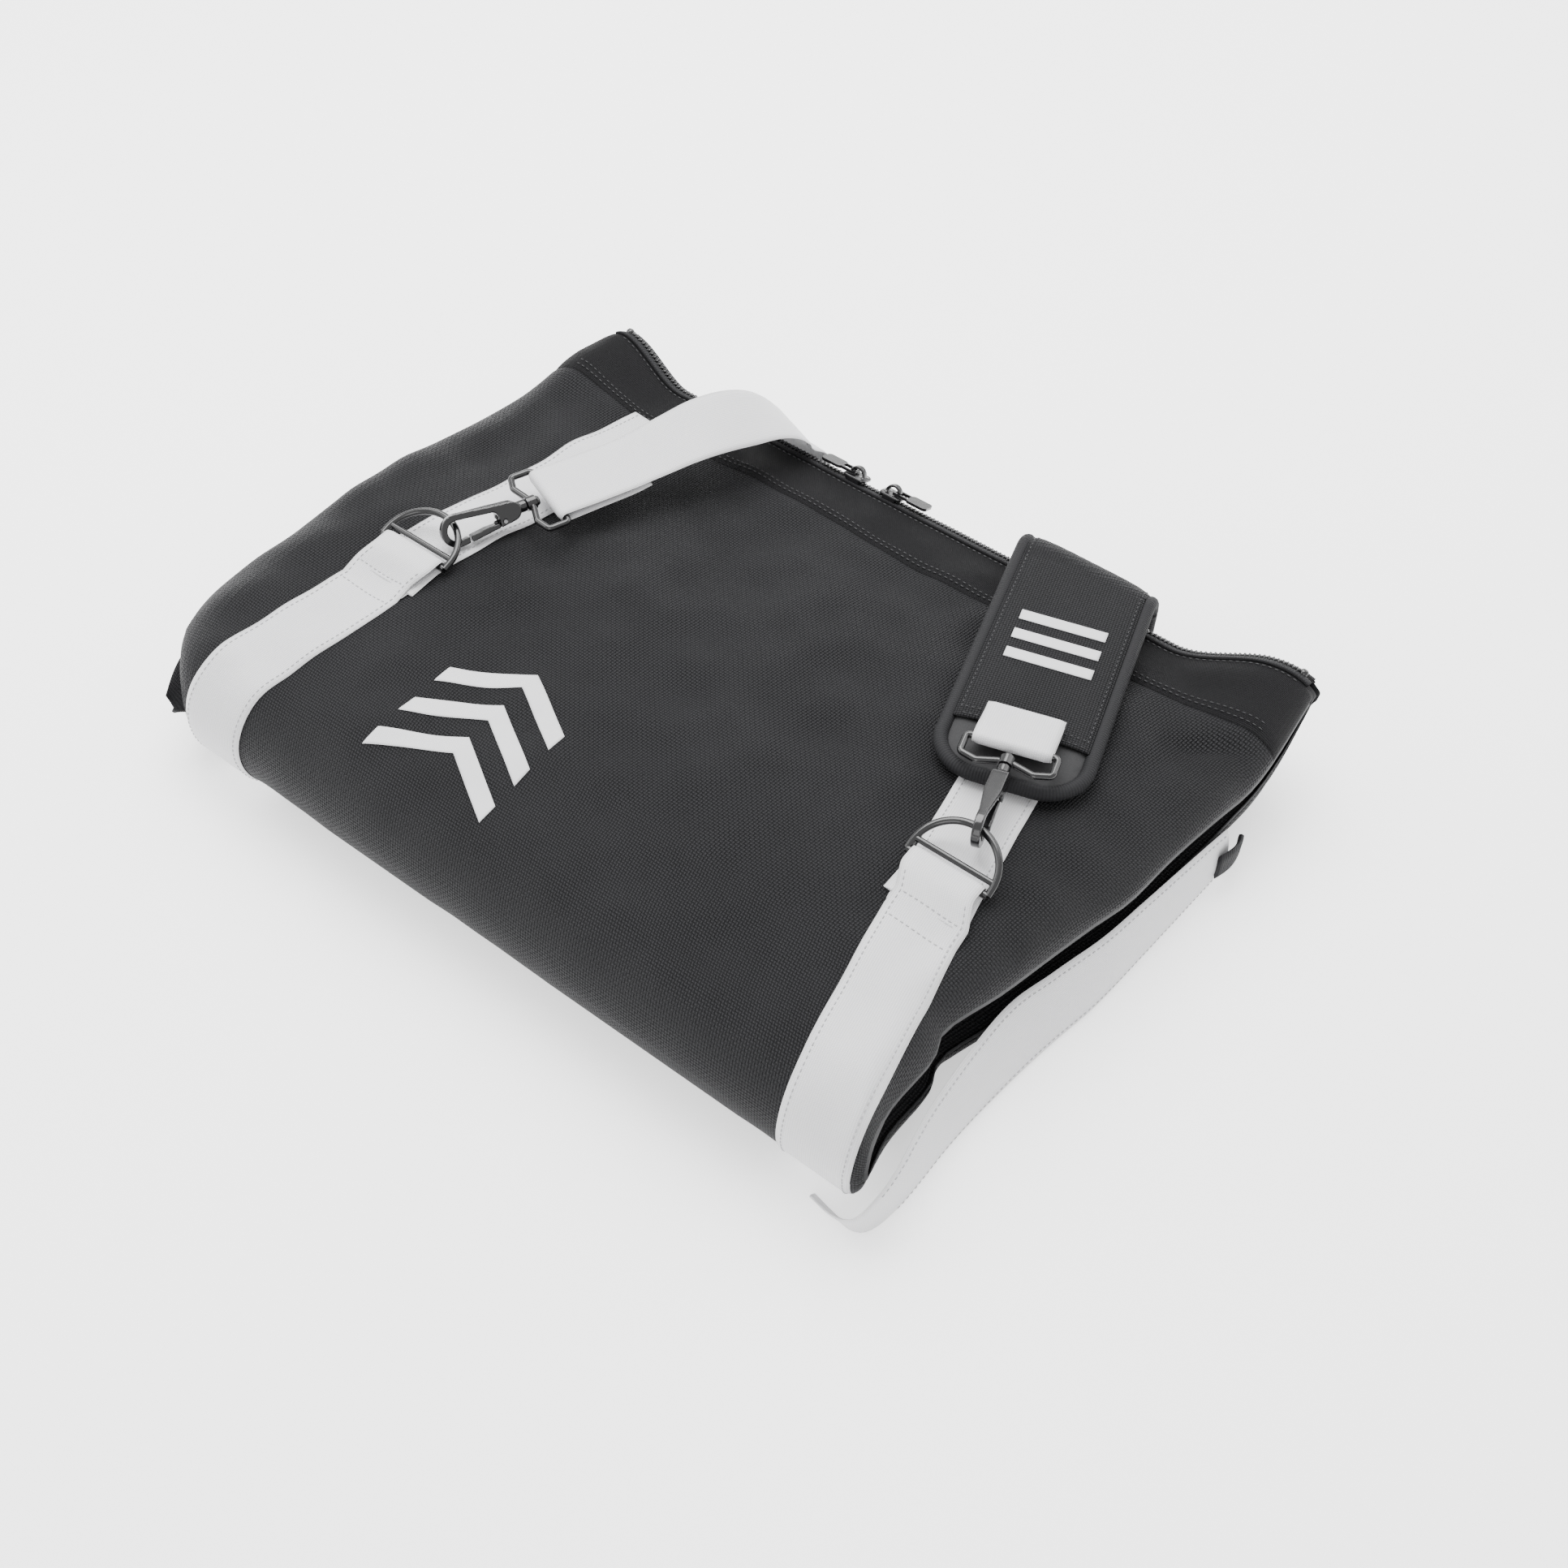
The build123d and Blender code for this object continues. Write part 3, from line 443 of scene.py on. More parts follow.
class Seams:
    # gathers single stitches and makes them one piece
    def __init__(self, name, material, body, pitch=3.0, length=2.1, thick=0.32):
        self.name, self.material, self.body = name, material, body
        self.pitch, self.length, self.thick = pitch, length, thick
        self.verts, self.faces = [], []

    def run(self, path, normal):
        path = np.asarray(path, float)
        normal = np.broadcast_to(np.asarray(normal, float), path.shape)
        length = np.concatenate([[0], np.cumsum(np.linalg.norm(np.diff(path, axis=0), axis=1))])
        for start in np.arange(self.pitch * 0.4, length[-1] - self.length, self.pitch):
            ends = [np.array([np.interp(start + part, length, path[:, c]) for c in range(3)]) for part in (0, self.length)]
            up = np.array([np.interp(start, length, normal[:, c]) for c in range(3)])
            self.one(ends[0], ends[1], up / max(np.linalg.norm(up), 1e-9))

    def one(self, a, b, up):
        way = b - a
        side = np.cross(way, up)
        side /= max(np.linalg.norm(side), 1e-9)
        base = len(self.verts)
        self.verts.append(a - up * self.thick * 0.6)
        for share in (0.2, 0.8):
            for turn in range(6):
                angle = turn * pi / 3
                self.verts.append(a + way * share + self.thick * (side * cos(angle) + up * (sin(angle) + 0.25)))
        self.verts.append(b - up * self.thick * 0.6)
        for j in range(6):
            k = (j + 1) % 6
            self.faces.append((base, base + 1 + k, base + 1 + j))
            self.faces.append((base + 1 + j, base + 1 + k, base + 7 + k, base + 7 + j))
            self.faces.append((base + 13, base + 7 + j, base + 7 + k))

    def make(self):
        return place(self.name, self.verts, self.faces, self.material, self.body)


# camera, floor and light

view = {"lens": 42.86, "azimuth": 37.5, "elevation": 52.0, "distance": 951.1, "target": (41.6, -0.5, 0.0)}
turn, climb = radians(view["azimuth"]), radians(view["elevation"])
back = Vector((sin(turn) * cos(climb), -cos(turn) * cos(climb), sin(climb)))
camera = bpy.data.objects.new("camera", bpy.data.cameras.new("camera"))
bpy.context.collection.objects.link(camera)
camera.data.lens = view["lens"]
camera.data.sensor_width = 36
camera.location = (Vector(view["target"]) + back * view["distance"]) * mm
camera.rotation_mode = "QUATERNION"
camera.rotation_quaternion = (-back).to_track_quat("-Z", "Y")
camera.data.clip_start = 0.01
bpy.context.scene.camera = camera

floorKit = {"half": 3000.0, "shade": (0.95, 0.95, 0.952, 1), "rough": 0.7}
corner = floorKit["half"]
floorMesh = bpy.data.meshes.new("floor")
corners = [(x * corner * mm, y * corner * mm, 0) for x, y in ((-1, -1), (1, -1), (1, 1), (-1, 1))]
floorMesh.from_pydata(corners, [], [(0, 1, 2, 3)])
floor = bpy.data.objects.new("floor", floorMesh)
bpy.context.collection.objects.link(floor)
floorPaint = Paint("paleFloor")
floorMesh.materials.append(floorPaint.set(color=floorKit["shade"], rough=floorKit["rough"]))
floorPaint.feed(floorPaint.shader.inputs["Emission Color"], (1, 1, 1, 1))
floorPaint.feed(floorPaint.shader.inputs["Emission Strength"], 0.9)

lights = {  # place, size, watts
    "skyPanel": ((-0.5, 0.5, 1.5), 1.4, 60),
    "leftPanel": ((-1.3, -0.6, 0.9), 1.1, 12),
    "frontPanel": ((0.7, -1.5, 0.8), 1.0, 9),
    "backPanel": ((0.5, 1.5, 0.9), 1.2, 12),
}
for name, (spot, size, watts) in lights.items():
    lamp = bpy.data.lights.new(name, "AREA")
    lamp.shape = "SQUARE"
    lamp.size = size
    lamp.energy = watts
    holder = bpy.data.objects.new(name, lamp)
    holder.location = spot
    holder.rotation_mode = "QUATERNION"
    holder.rotation_quaternion = Vector(spot).to_track_quat("Z", "Y")
    bpy.context.collection.objects.link(holder)
world = bpy.data.worlds.new("studio")
bpy.context.scene.world = world
world.use_nodes = True
world.node_tree.nodes["Background"].inputs["Color"].default_value = (1, 1, 1, 1)
world.node_tree.nodes["Background"].inputs["Strength"].default_value = 1.3
print("camera and light ready")

# the bag's own surface

panelLow, panelHigh = box("front_panel")
hemLow, hemHigh = box("front_hem")
tapeLow, tapeHigh = box("zip_tape_back")
backLow = box("back_panel")[0]
pivot = np.array(joints["strap_lift"]["pos_m"]) / mm

bag = {
    "foldY": panelLow[1], "seamY": hemLow[1], "lipY": hemHigh[1], "rearY": tapeHigh[1],
    "footY": tapeHigh[1] - 23.0, "floorZ": panelLow[2], "crestZ": panelHigh[2], "seamZ": hemHigh[2],
    "lipZ": 50.0, "rearZ": tapeLow[2], "bottomSeamY": backLow[1], "foldReach": 34.0, "foldDrop": 1.4,
    "sideLeft": [
        (-176, -214), (-150, -229), (-112, -241), (-60, -239), (0, -236), (60, -229), (120, -220), (170, -199),
    ],
    "sideRight": [
        (-176, 213), (-160, 209), (-140, 206), (-112, 207), (-96, 203), (-66, 212), (-36, 219),
        (-11, 225), (12, 231), (44, 234), (88, 240), (120, 243), (170, 240),
    ],
    "roundLeft": [(-176, 26), (-120, 30), (60, 26), (130, 20), (170, 12)],
    "roundRight": [(-176, 5), (-150, 8), (-110, 22), (-40, 30), (60, 28), (130, 22), (170, 13)],
    "gapeLeft": [(-176, 4), (-150, 10), (0, 14), (70, 11), (110, 3), (170, 1)],
    "gapeRight": [(-176, 6), (-155, 20), (-60, 22), (60, 18), (100, 8), (130, 2), (170, 1)],
    "mouthZ": 38.0,
    "cornerLeft": 24.0, "cornerRight": 5.0,
    "liftLeft": 20.0, "liftRight": 16.0,
    "cloth": 1.4,
}
leftEdge, rightEdge = throughPoints(bag["sideLeft"]), throughPoints(bag["sideRight"])
leftRound, rightRound = throughPoints(bag["roundLeft"]), throughPoints(bag["roundRight"])
leftGape, rightGape = throughPoints(bag["gapeLeft"]), throughPoints(bag["gapeRight"])


def sideOutline():
    # the bag's side view from the rear lip forwards over the top, round the fold and back to the rear lip
    foldTop = bag["crestZ"] - bag["foldDrop"]
    middleZ = (foldTop + bag["floorZ"]) / 2
    halfZ = (foldTop - bag["floorZ"]) / 2
    centreY = bag["foldY"] + bag["foldReach"]
    crown = [(60, 63.0), (0, 69.6), (pivot[1], bag["crestZ"]), (-90, 73.2), (centreY, foldTop)]
    top = smoothLine([(bag["lipY"], bag["lipZ"]), (bag["seamY"], bag["seamZ"])] + crown, 120)
    fold = [(centreY - bag["foldReach"] * sin(a), middleZ + halfZ * cos(a)) for a in np.linspace(0.05, pi - 0.05, 40)]
    under = [(y, bag["floorZ"]) for y in np.linspace(centreY, bag["footY"] - 6, 60)]
    foot, rear = (bag["footY"], bag["floorZ"] + 3), (bag["rearY"], bag["rearZ"])
    wall = smoothLine([foot, (bag["footY"] + 12, 20), (bag["rearY"] - 3, 38), rear], 20)
    rise, run = bag["lipZ"] - bag["rearZ"], bag["lipY"] - bag["rearY"]
    zipFace = [rear] + [(rear[0] + run * t, rear[1] + rise * t) for t in (0.25, 0.5, 0.75)]
    line = np.array(zipFace + list(top) + fold + under + list(wall))
    run = np.concatenate([[0], np.cumsum(np.linalg.norm(np.diff(line, axis=0), axis=1))])
    return line, run


outlineLine, outlineRun = sideOutline()
stations = {}  # distances round the side view to each seam
lipIndex = 4
stations["lip"] = outlineRun[lipIndex]
topPart = outlineLine[lipIndex:lipIndex + 120]
stations["seam"] = outlineRun[lipIndex + int(np.argmin(np.abs(topPart[:, 0] - bag["seamY"])))]
stations["ring"] = outlineRun[lipIndex + int(np.argmin(np.abs(topPart[:, 0] - pivot[1])))]
foldIndex = int(np.argmin(outlineLine[:, 0]))
stations["fold"] = outlineRun[foldIndex]
lower = outlineLine[foldIndex:]
stations["bottomSeam"] = outlineRun[foldIndex + int(np.argmin(np.abs(lower[:, 0] - bag["bottomSeamY"])))]
stations["foot"] = outlineRun[len(outlineLine) - 20]
stations["end"] = outlineRun[-1]

ripples = np.random.default_rng(11)
waves = [(ripples.uniform(0, 2 * pi), 2 * pi / ripples.uniform(70, 150), ripples.uniform(0, 2 * pi), 0.55) for _ in range(6)]
waves += [(ripples.uniform(0, 2 * pi), 2 * pi / ripples.uniform(24, 48), ripples.uniform(0, 2 * pi), 0.17) for _ in range(7)]
creases = [  # start, end, width, height
    ((196, -40), (214, -62), 7, -2.2), ((190, -36), (226, -30), 8, -1.8), ((182, -14), (232, 6), 9, -1.6),
    ((120, 20), (40, 60), 16, -1.3), ((150, 60), (120, 112), 12, -1.4), ((196, 60), (214, 112), 9, -2.0),
    ((200, 96), (238, 118), 5, -2.6), ((-150, 40), (-100, 105), 14, -1.2), ((-196, 20), (-190, 110), 10, -1.4),
    ((100, -20), (30, -60), 22, 0.9), ((-60, -150), (120, -160), 30, 0.8), ((140, -120), (60, -150), 20, -0.8),
    ((-40, 100), (60, 104), 10, -1.2), ((-215, -60), (-205, 10), 12, -1.2),
]


def relief(x, y):
    # small hollows and swells of the loose cloth
    rise = np.zeros_like(x)
    for heading, pitch, phase, size in waves:
        rise += size * np.sin(pitch * (x * cos(heading) + y * sin(heading)) + phase)
    for (ax, ay), (bx, by), width, height in creases:
        dx, dy = bx - ax, by - ay
        t = np.clip(((x - ax) * dx + (y - ay) * dy) / (dx * dx + dy * dy), 0, 1)
        gap = np.hypot(x - ax - t * dx, y - ay - t * dy)
        rise += height * np.exp(-((gap / width) ** 2)) * (0.35 + 0.65 * np.sin(pi * np.clip(t, 0.05, 0.95)))
    return rise


def smoothStep(value, low, high):
    t = np.clip((value - low) / (high - low), 0, 1)
    return t * t * (3 - 2 * t)


def surface(x, s, out=0.0):
    # the point of the bag's cloth at x, s round the side view; out moves it off the cloth
    x, s = np.broadcast_arrays(np.asarray(x, float), np.asarray(s, float))
    s = np.clip(s, 0, stations["end"])
    y0 = np.interp(s, outlineRun, outlineLine[:, 0])
    z0 = np.interp(s, outlineRun, outlineLine[:, 1])
    ahead = np.interp(s + 1.5, outlineRun, outlineLine[:, 0]), np.interp(s + 1.5, outlineRun, outlineLine[:, 1])
    behind = np.interp(s - 1.5, outlineRun, outlineLine[:, 0]), np.interp(s - 1.5, outlineRun, outlineLine[:, 1])
    ny, nz = -(ahead[1] - behind[1]), ahead[0] - behind[0]
    size = np.maximum(np.hypot(ny, nz), 1e-6)
    ny, nz = -ny / size, -nz / size
    foldTop = bag["crestZ"] - bag["foldDrop"]
    middleZ = (foldTop + bag["floorZ"]) / 2
    level = np.clip((z0 - middleZ) / 18, -1, 1)
    onTop = s < stations["fold"]
    gapLeft, gapRight = x - leftEdge(y0), rightEdge(y0) - x
    drop = np.ones_like(x)
    for gap, curve in ((gapLeft, leftRound(y0)), (gapRight, rightRound(y0))):
        drop = np.minimum(drop, np.sqrt(np.maximum(1 - (1 - np.clip(gap / curve, 0, 1)) ** 2, 0)))
    leftHalf = x < 0
    gape = np.where(leftHalf, leftGape(y0), rightGape(y0)) / 2
    mouth = bag["mouthZ"] + gape * level
    mouth = np.where(onTop, mouth + 3 * level, mouth - 3)
    foldness = np.clip(1 - (y0 - bag["foldY"]) / bag["foldReach"], 0, 1)
    inset = np.where(leftHalf, bag["cornerLeft"], bag["cornerRight"])
    calm = 1 - 0.9 * smoothStep(y0, 132, 150)
    full = relief(x, y0) * calm * drop * np.where(s < stations["bottomSeam"], 1.0, 0.25)
    full = full * smoothStep(y0, bag["foldY"] - 1, bag["foldY"] + 30) + 0.4 * full
    full = np.where(s > stations["fold"], np.minimum(full, 0), full)
    moved = full + out
    z = mouth + (z0 - mouth) * drop + nz * moved
    y = y0 + (1 - drop) * foldness * inset + ny * moved
    rise = bag["liftLeft"] * smoothStep(-x, 151, 202) + bag["liftRight"] * smoothStep(x, 168, 226)
    reach = np.where(onTop, smoothStep(y0, bag["seamY"] - 25, bag["rearY"] - 6), smoothStep(z0, 4, 46) * (y0 > 0))
    z = z + rise * reach
    bow = 5.0 * smoothStep(-x, 153, 194) + 9.0 * smoothStep(x, 165, 215)
    y = y + bow * reach
    return np.stack([x, y, z], axis=-1)


def columnsAt(s, count):
    # x places across the cloth, closer together round the two sides
    y0 = np.interp(s, outlineRun, outlineLine[:, 0])
    left, right = leftEdge(y0), rightEdge(y0)
    curveLeft, curveRight = leftRound(y0), rightRound(y0)
    edge = 10
    a = np.linspace(0, pi / 2, edge, endpoint=False)
    start = left + curveLeft * (1 - np.cos(a))
    finishing = (right - curveRight * (1 - np.cos(a)))[::-1]
    flat = np.linspace(left + curveLeft, right - curveRight, count - 2 * edge)
    return np.concatenate([start, flat, finishing])


def clothPatch(sFrom, sTo, rows, columns, out=0.0, dip=None):
    s = np.linspace(sFrom, sTo, rows)
    if dip:
        # a seam pulls the cloth in along its line
        s = np.sort(np.concatenate([s, [sFrom + dip * 0.4, sTo - dip * 0.4]]))
    grid = np.stack([surface(columnsAt(station, columns), station, out) for station in s])
    if dip:
        pull = np.minimum(s - s[0], s[-1] - s)
        grid = np.stack([
            surface(columnsAt(station, columns), station, out - 0.9 * np.exp(-((p / dip) ** 2)))
            for station, p in zip(s, pull)
        ])
    cloth = np.zeros_like(grid)
    steps = np.cumsum(np.linalg.norm(np.diff(grid, axis=1), axis=2), axis=1)
    cloth[:, :, 0] = np.concatenate([np.zeros((len(s), 1)), steps], axis=1)
    cloth[:, :, 0] -= cloth[:, columns // 2:columns // 2 + 1, 0]
    cloth[:, :, 1] = s[:, None]
    cloth[:, :, 2] = edgeGap(cloth[:, :, 0], cloth[:, :, 1])
    return grid, cloth


outwards = {"top": (0, -0.3, 1), "under": (0, 0, -1), "rear": (0, 1, 0.2)}
grid, cloth = clothPatch(stations["seam"], stations["bottomSeam"], 190, 170, dip=2.0)
frontPanel = slab("frontPanel", grid, bag["cloth"], "panel", "bag", cloth, outwards["top"])
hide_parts("front_panel")
grid, cloth = clothPatch(stations["lip"], stations["seam"], 26, 170, out=0.3, dip=2.0)
frontHem = slab("frontHem", grid, bag["cloth"], "hem", "bag", cloth, outwards["top"])
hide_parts("front_hem")
grid, cloth = clothPatch(stations["bottomSeam"], stations["foot"] - 14, 60, 120, dip=2.0)
grid[:, :, 2] = np.maximum(grid[:, :, 2], 0.6)
backPanel = slab("backPanel", grid, bag["cloth"], "panel", "bag", cloth, outwards["under"])
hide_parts("back_panel")
grid, cloth = clothPatch(stations["foot"] - 14, stations["end"], 34, 150, dip=2.0)
grid[:, :, 2] = np.maximum(grid[:, :, 2], 0.6)
backHem = slab("backHem", grid, bag["cloth"], "hem", "bag", cloth, outwards["rear"])
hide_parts("back_hem")
grid, cloth = clothPatch(stations["lip"] + 2, stations["end"] - 2, 90, 60, out=-3.2)
lining = slab("lining", grid, 0.5, "lining", "bag", cloth, outwards["top"])
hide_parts("lining")
print("bag cloth ready")

# gussets, folded inwards at each side
gussetKit = {"depth": 46.0, "rows": 120, "columns": 26, "from": -171.0, "to": 120.0}
for side, sign in (("left", -1), ("right", 1)):
    ys = np.linspace(gussetKit["from"], gussetKit["to"], gussetKit["rows"])
    edges = (leftEdge if sign < 0 else rightEdge)(ys)
    gapes = (leftGape if sign < 0 else rightGape)(ys) / 2
    grid = np.zeros((len(ys), gussetKit["columns"], 3))
    for j, t in enumerate(np.linspace(-1, 1, gussetKit["columns"])):
        depth = gussetKit["depth"] * (1 - abs(t) ** 1.3) * smoothStep(ys, -176, -150) * smoothStep(-ys, -124, -70)
        depth = depth * (1 + 0.1 * np.sin(ys / 17 + 2 * t)) + 1.2
        grid[:, j, 0] = edges - sign * depth
        grid[:, j, 1] = ys
        grid[:, j, 2] = bag["mouthZ"] + t * (gapes + 2.5) + 1.4 * (1 - t * t) * np.sin(ys / 23)
    cloth = np.zeros_like(grid)
    cloth[:, :, 0] = np.linspace(-50, 50, gussetKit["columns"])[None, :]
    cloth[:, :, 1] = ys[:, None]
    cloth[:, :, 2] = 9
    gusset = slab(f"gusset{side.title()}", grid, 0.9, "panel", "bag", cloth, (sign, 0, 0))
    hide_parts(f"gusset_{side}")
print("gussets ready")

# zip: tapes, coil, stops and the hem's rolled lips
zipKit = {"pitch": 1.25, "reach": 2.0, "wide": 0.62, "tall": 1.3, "offset": 1.3, "left": -199.0, "right": 234.0}
lip = stations["lip"]
zipX = np.linspace(zipKit["left"] - 3, zipKit["right"] + 3, 260)
tapeFront = surface(zipX[:, None], np.linspace(lip * 0.62, lip + 1.5, 7)[None, :], 0.2)
piece, _, _ = band("zipTapeFront", tapeFront, 0.0, 0.7, "tape", "bag", (0, 0.4, 1))
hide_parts("zip_tape_front")
tapeBack = surface(zipX[:, None], np.linspace(0.3, lip * 0.38, 7)[None, :], 0.2)
piece, _, _ = band("zipTapeBack", tapeBack, 0.0, 0.7, "tape", "bag", (0, 0.4, 1))
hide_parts("zip_tape_back")
for name, station, drop in (("lipRollFront", lip + 0.8, 0.1), ("lipRollBack", stations["end"] - 0.6, 0.4)):
    roll = tube(name, surface(zipX, station, drop), 0.85, "hem", "bag", sides=8)


def bead(verts, faces, centre, across, along, up, sizes, rounds=8, rings=4):
    base = len(verts)
    for i in range(rings + 1):
        lift = pi * i / rings
        for j in range(rounds):
            turn = 2 * pi * j / rounds
            verts.append(
                centre + across * sizes[0] * cos(lift)
                + sin(lift) * (along * sizes[1] * cos(turn) + up * sizes[2] * sin(turn))
            )
    for i in range(rings):
        for j in range(rounds):
            k = (j + 1) % rounds
            near, far = base + i * rounds, base + (i + 1) * rounds
            faces.append((near + j, near + k, far + k, far + j))


dense = np.linspace(zipKit["left"], zipKit["right"], 900)
coilLine = surface(dense, lip * 0.5, 0.9)
coilAcross = surface(dense, lip * 0.5 - 1, 0.9) - surface(dense, lip * 0.5 + 1, 0.9)
coilRun = np.concatenate([[0], np.cumsum(np.linalg.norm(np.diff(coilLine, axis=0), axis=1))])
verts, faces = [], []
for index, along_ in enumerate(np.arange(3, coilRun[-1] - 3, zipKit["pitch"])):
    centre, ahead = [np.array([np.interp(along_ + d, coilRun, coilLine[:, c]) for c in range(3)]) for d in (0, 0.5)]
    across = np.array([np.interp(along_, coilRun, coilAcross[:, c]) for c in range(3)])
    across /= np.linalg.norm(across)
    along = (ahead - centre) / np.linalg.norm(ahead - centre)
    up = np.cross(along, across)
    up *= 1 if up[2] > 0 else -1
    hand = 1 if index % 2 else -1
    sizes = (zipKit["reach"], zipKit["wide"], zipKit["tall"])
    bead(verts, faces, centre + across * hand * zipKit["offset"], across, along, up, sizes)
coil = tidyNormals(place("zipCoil", verts, faces, "coil", "bag"))
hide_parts("zip_chain")
for name, start in (("zipStopLeft", 0.5), ("zipStopRight", coilRun[-1] - 4.5)):
    line = [[np.interp(start + d, coilRun, coilLine[:, c]) for c in range(3)] for d in np.linspace(0, 4, 5)]
    stop = tube(name, line, [1.6, 2.3, 2.4, 2.3, 1.6], "metal", "bag", sides=10)
    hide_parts("zip_stops")
print("zip ready")

# webbing sewn to the bag
strapKit = {"width": 38.0, "thick": 1.5, "columns": 13}
webbingSeams = Seams("webbingStitches", "thread", "bag")
ringNodes = {"left": box("dring_left"), "right": box("dring_right")}
ringX = {side: (low[0] + high[0]) / 2 for side, (low, high) in ringNodes.items()}
lean = {"left": radians(-7.9), "right": radians(10.7)}


def strapX(side, y):
    return ringX[side] - (y - pivot[1]) * tan(lean[side])


def strapRows(side, s, out):
    y0 = np.interp(s, outlineRun, outlineLine[:, 0])
    half = strapKit["width"] / 2 / cos(lean[side])
    x = strapX(side, y0)[:, None] + np.linspace(-half, half, strapKit["columns"])[None, :]
    return surface(x, s[:, None], out)


def edgeStitches(seams, high, normal, columns=(1, -2), first=0, last=None):
    for column in columns:
        seams.run(high[first:last, column], normal[first:last, column])


for side in ("left", "right"):
    far = stations["bottomSeam"] - 4 if side == "left" else stations["fold"] + 62
    s = np.linspace(stations["ring"] + 27, far, 120)
    onBag = strapRows(side, s, 0.3)
    barY, barZ = pivot[1], pivot[2]
    wrap = 2.75
    startZ = onBag[0, :, 2].mean()
    loop = [(barY - 21, startZ + 2.0), (barY - 12, barZ - wrap - 0.5)]
    loop += [(barY + wrap * cos(a), barZ + wrap * sin(a)) for a in np.linspace(-pi / 2, pi / 2, 9)]
    loop += [(barY - 9, barZ + wrap - 0.7), (barY - 19, startZ + 2.9)]
    loop = smoothLine(loop, 46)
    half = strapKit["width"] / 2
    loopRows = np.zeros((len(loop), strapKit["columns"], 3))
    loopRows[:, :, 0] = ringX[side] + np.linspace(-half, half, strapKit["columns"])[None, :]
    loopRows[:, :, 1] = loop[:, 0][:, None]
    loopRows[:, :, 2] = loop[:, 1][:, None]
    ease = smoothStep(-loop[:, 0], -barY + 6, -barY + 21)[:, None]
    ease = ease * (np.arange(len(loop)) > 24)[:, None]
    loopRows[:, :, 2] += (onBag[0, :, 2] - startZ)[None, :] * ease
    level = ringX[side] + np.linspace(-half, half, strapKit["columns"])
    loopRows[:, :, 0] += (onBag[0, :, 0] - level)[None, :] * ease
    rows = np.concatenate([loopRows, onBag])
    piece, high, normal = band(f"bodyStrap{side.title()}", rows, -0.75, strapKit["thick"], "webbing", "bag")
    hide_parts(f"body_strap_{side}", f"ring_loop_{side}")
    edgeStitches(webbingSeams, high[36:], normal[36:])
    cross = int(np.argmin(np.abs(rows[:, 6, 1] - (barY - 20)) + 99 * (np.arange(len(rows)) < 24)))
    webbingSeams.run(high[cross, 1:-1], normal[cross, 1:-1])
    webbingSeams.run(high[cross + 3, 1:-1], normal[cross + 3, 1:-1])

    s = np.linspace(stations["ring"] + 24, stations["seam"] - 1.0, 70)[::-1]
    piece, high, normal = band(f"tailStrap{side.title()}", strapRows(side, s, 0.1), 0.0, 1.3, "webbing", "bag", (0, 0, 1))
    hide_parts(f"tail_strap_{side}")
    edgeStitches(webbingSeams, high, normal)

s = np.linspace(stations["bottomSeam"] - 6, stations["foot"] - 6, 60)
rows = strapRows("left", s, 0.0)
rows[:, :, 2] = 0.0
piece, _, _ = band("underStrapLeft", rows, 0.0, 1.4, "webbing", "bag", (0, 0, 1))
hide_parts("under_strap_left")

# band that stands along the right side, turned out of the right strap at the corner
bandKit = {
    "foot": [
        (190, -171.5), (204, -174), (214, -174.5), (219.5, -168), (222, -150), (222.5, -115),
        (226.5, -74), (231, -44), (236, -16), (239, 20), (242, 62), (243.5, 84),
    ],
    "top": [
        (190, -175), (204, -178), (214, -179), (219, -173), (220, -158), (214.5, -121),
        (213, -67), (220, -36), (228, -6), (233, 24), (239, 64), (242, 84),
    ],
    "height": [5, 9, 20, 31, 37, 38, 38, 38, 38, 38, 37, 36],
}
count = 130
foot = smoothLine([(x, y, 0.4) for x, y in bandKit["foot"]], count)
top = smoothLine([(x, y, h) for (x, y), h in zip(bandKit["top"], bandKit["height"])], count)
rows = np.zeros((count, strapKit["columns"], 3))
for j, t in enumerate(np.linspace(0, 1, strapKit["columns"])):
    bulge = 2.4 * sin(pi * t) * smoothStep(np.arange(count), 12, 40)
    rows[:, j] = foot * (1 - t) + top * t
    rows[:, j, 0] += bulge
piece, high, normal = band("sideBandRight", rows, 0.0, strapKit["thick"], "webbing", "bag", (1, 0, 0.2))
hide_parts("side_band_right")
edgeStitches(webbingSeams, high, normal, first=20)

tabKit = {"length": 22.0, "height": 19.0, "thick": 2.6}
endFoot = np.array(bandKit["foot"][-1])
tabRows = np.zeros((18, 7, 3))
for i, t in enumerate(np.linspace(0, 1, 18)):
    for j, h in enumerate(np.linspace(0, 1, 7)):
        narrow = 1 - 0.75 * max(0, t - 0.35) / 0.65
        x = endFoot[0] + 1.8 + 2.5 * sin(pi * t)
        z = 9 + tabKit["height"] * (0.5 + (h - 0.5) * narrow)
        tabRows[i, j] = (x, endFoot[1] - 9 + tabKit["length"] * t, z)
piece, _, _ = band("bandEndTab", tabRows, 0.0, tabKit["thick"], "tape", "bag", (1, 0, 0))
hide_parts("band_end_tab")
piece = webbingSeams.make()
print("webbing ready")

# seams of the bag
clothSeams = Seams("clothStitches", "darkThread", "bag", pitch=3.4, length=2.4, thick=0.3)


def stitchAlong(station, out, xFrom, xTo):
    x = np.linspace(xFrom, xTo, 240)
    line = surface(x, station, out)
    up = surface(x, station, out + 1) - line
    clothSeams.run(line, up)


stitchAlong(stations["seam"] - 5.5, 0.42, -204, 234)
stitchAlong(stations["seam"] - 2.6, 0.42, -204, 234)
stitchAlong(lip + 3.4, 0.42, -196, 232)
piece = clothSeams.make()

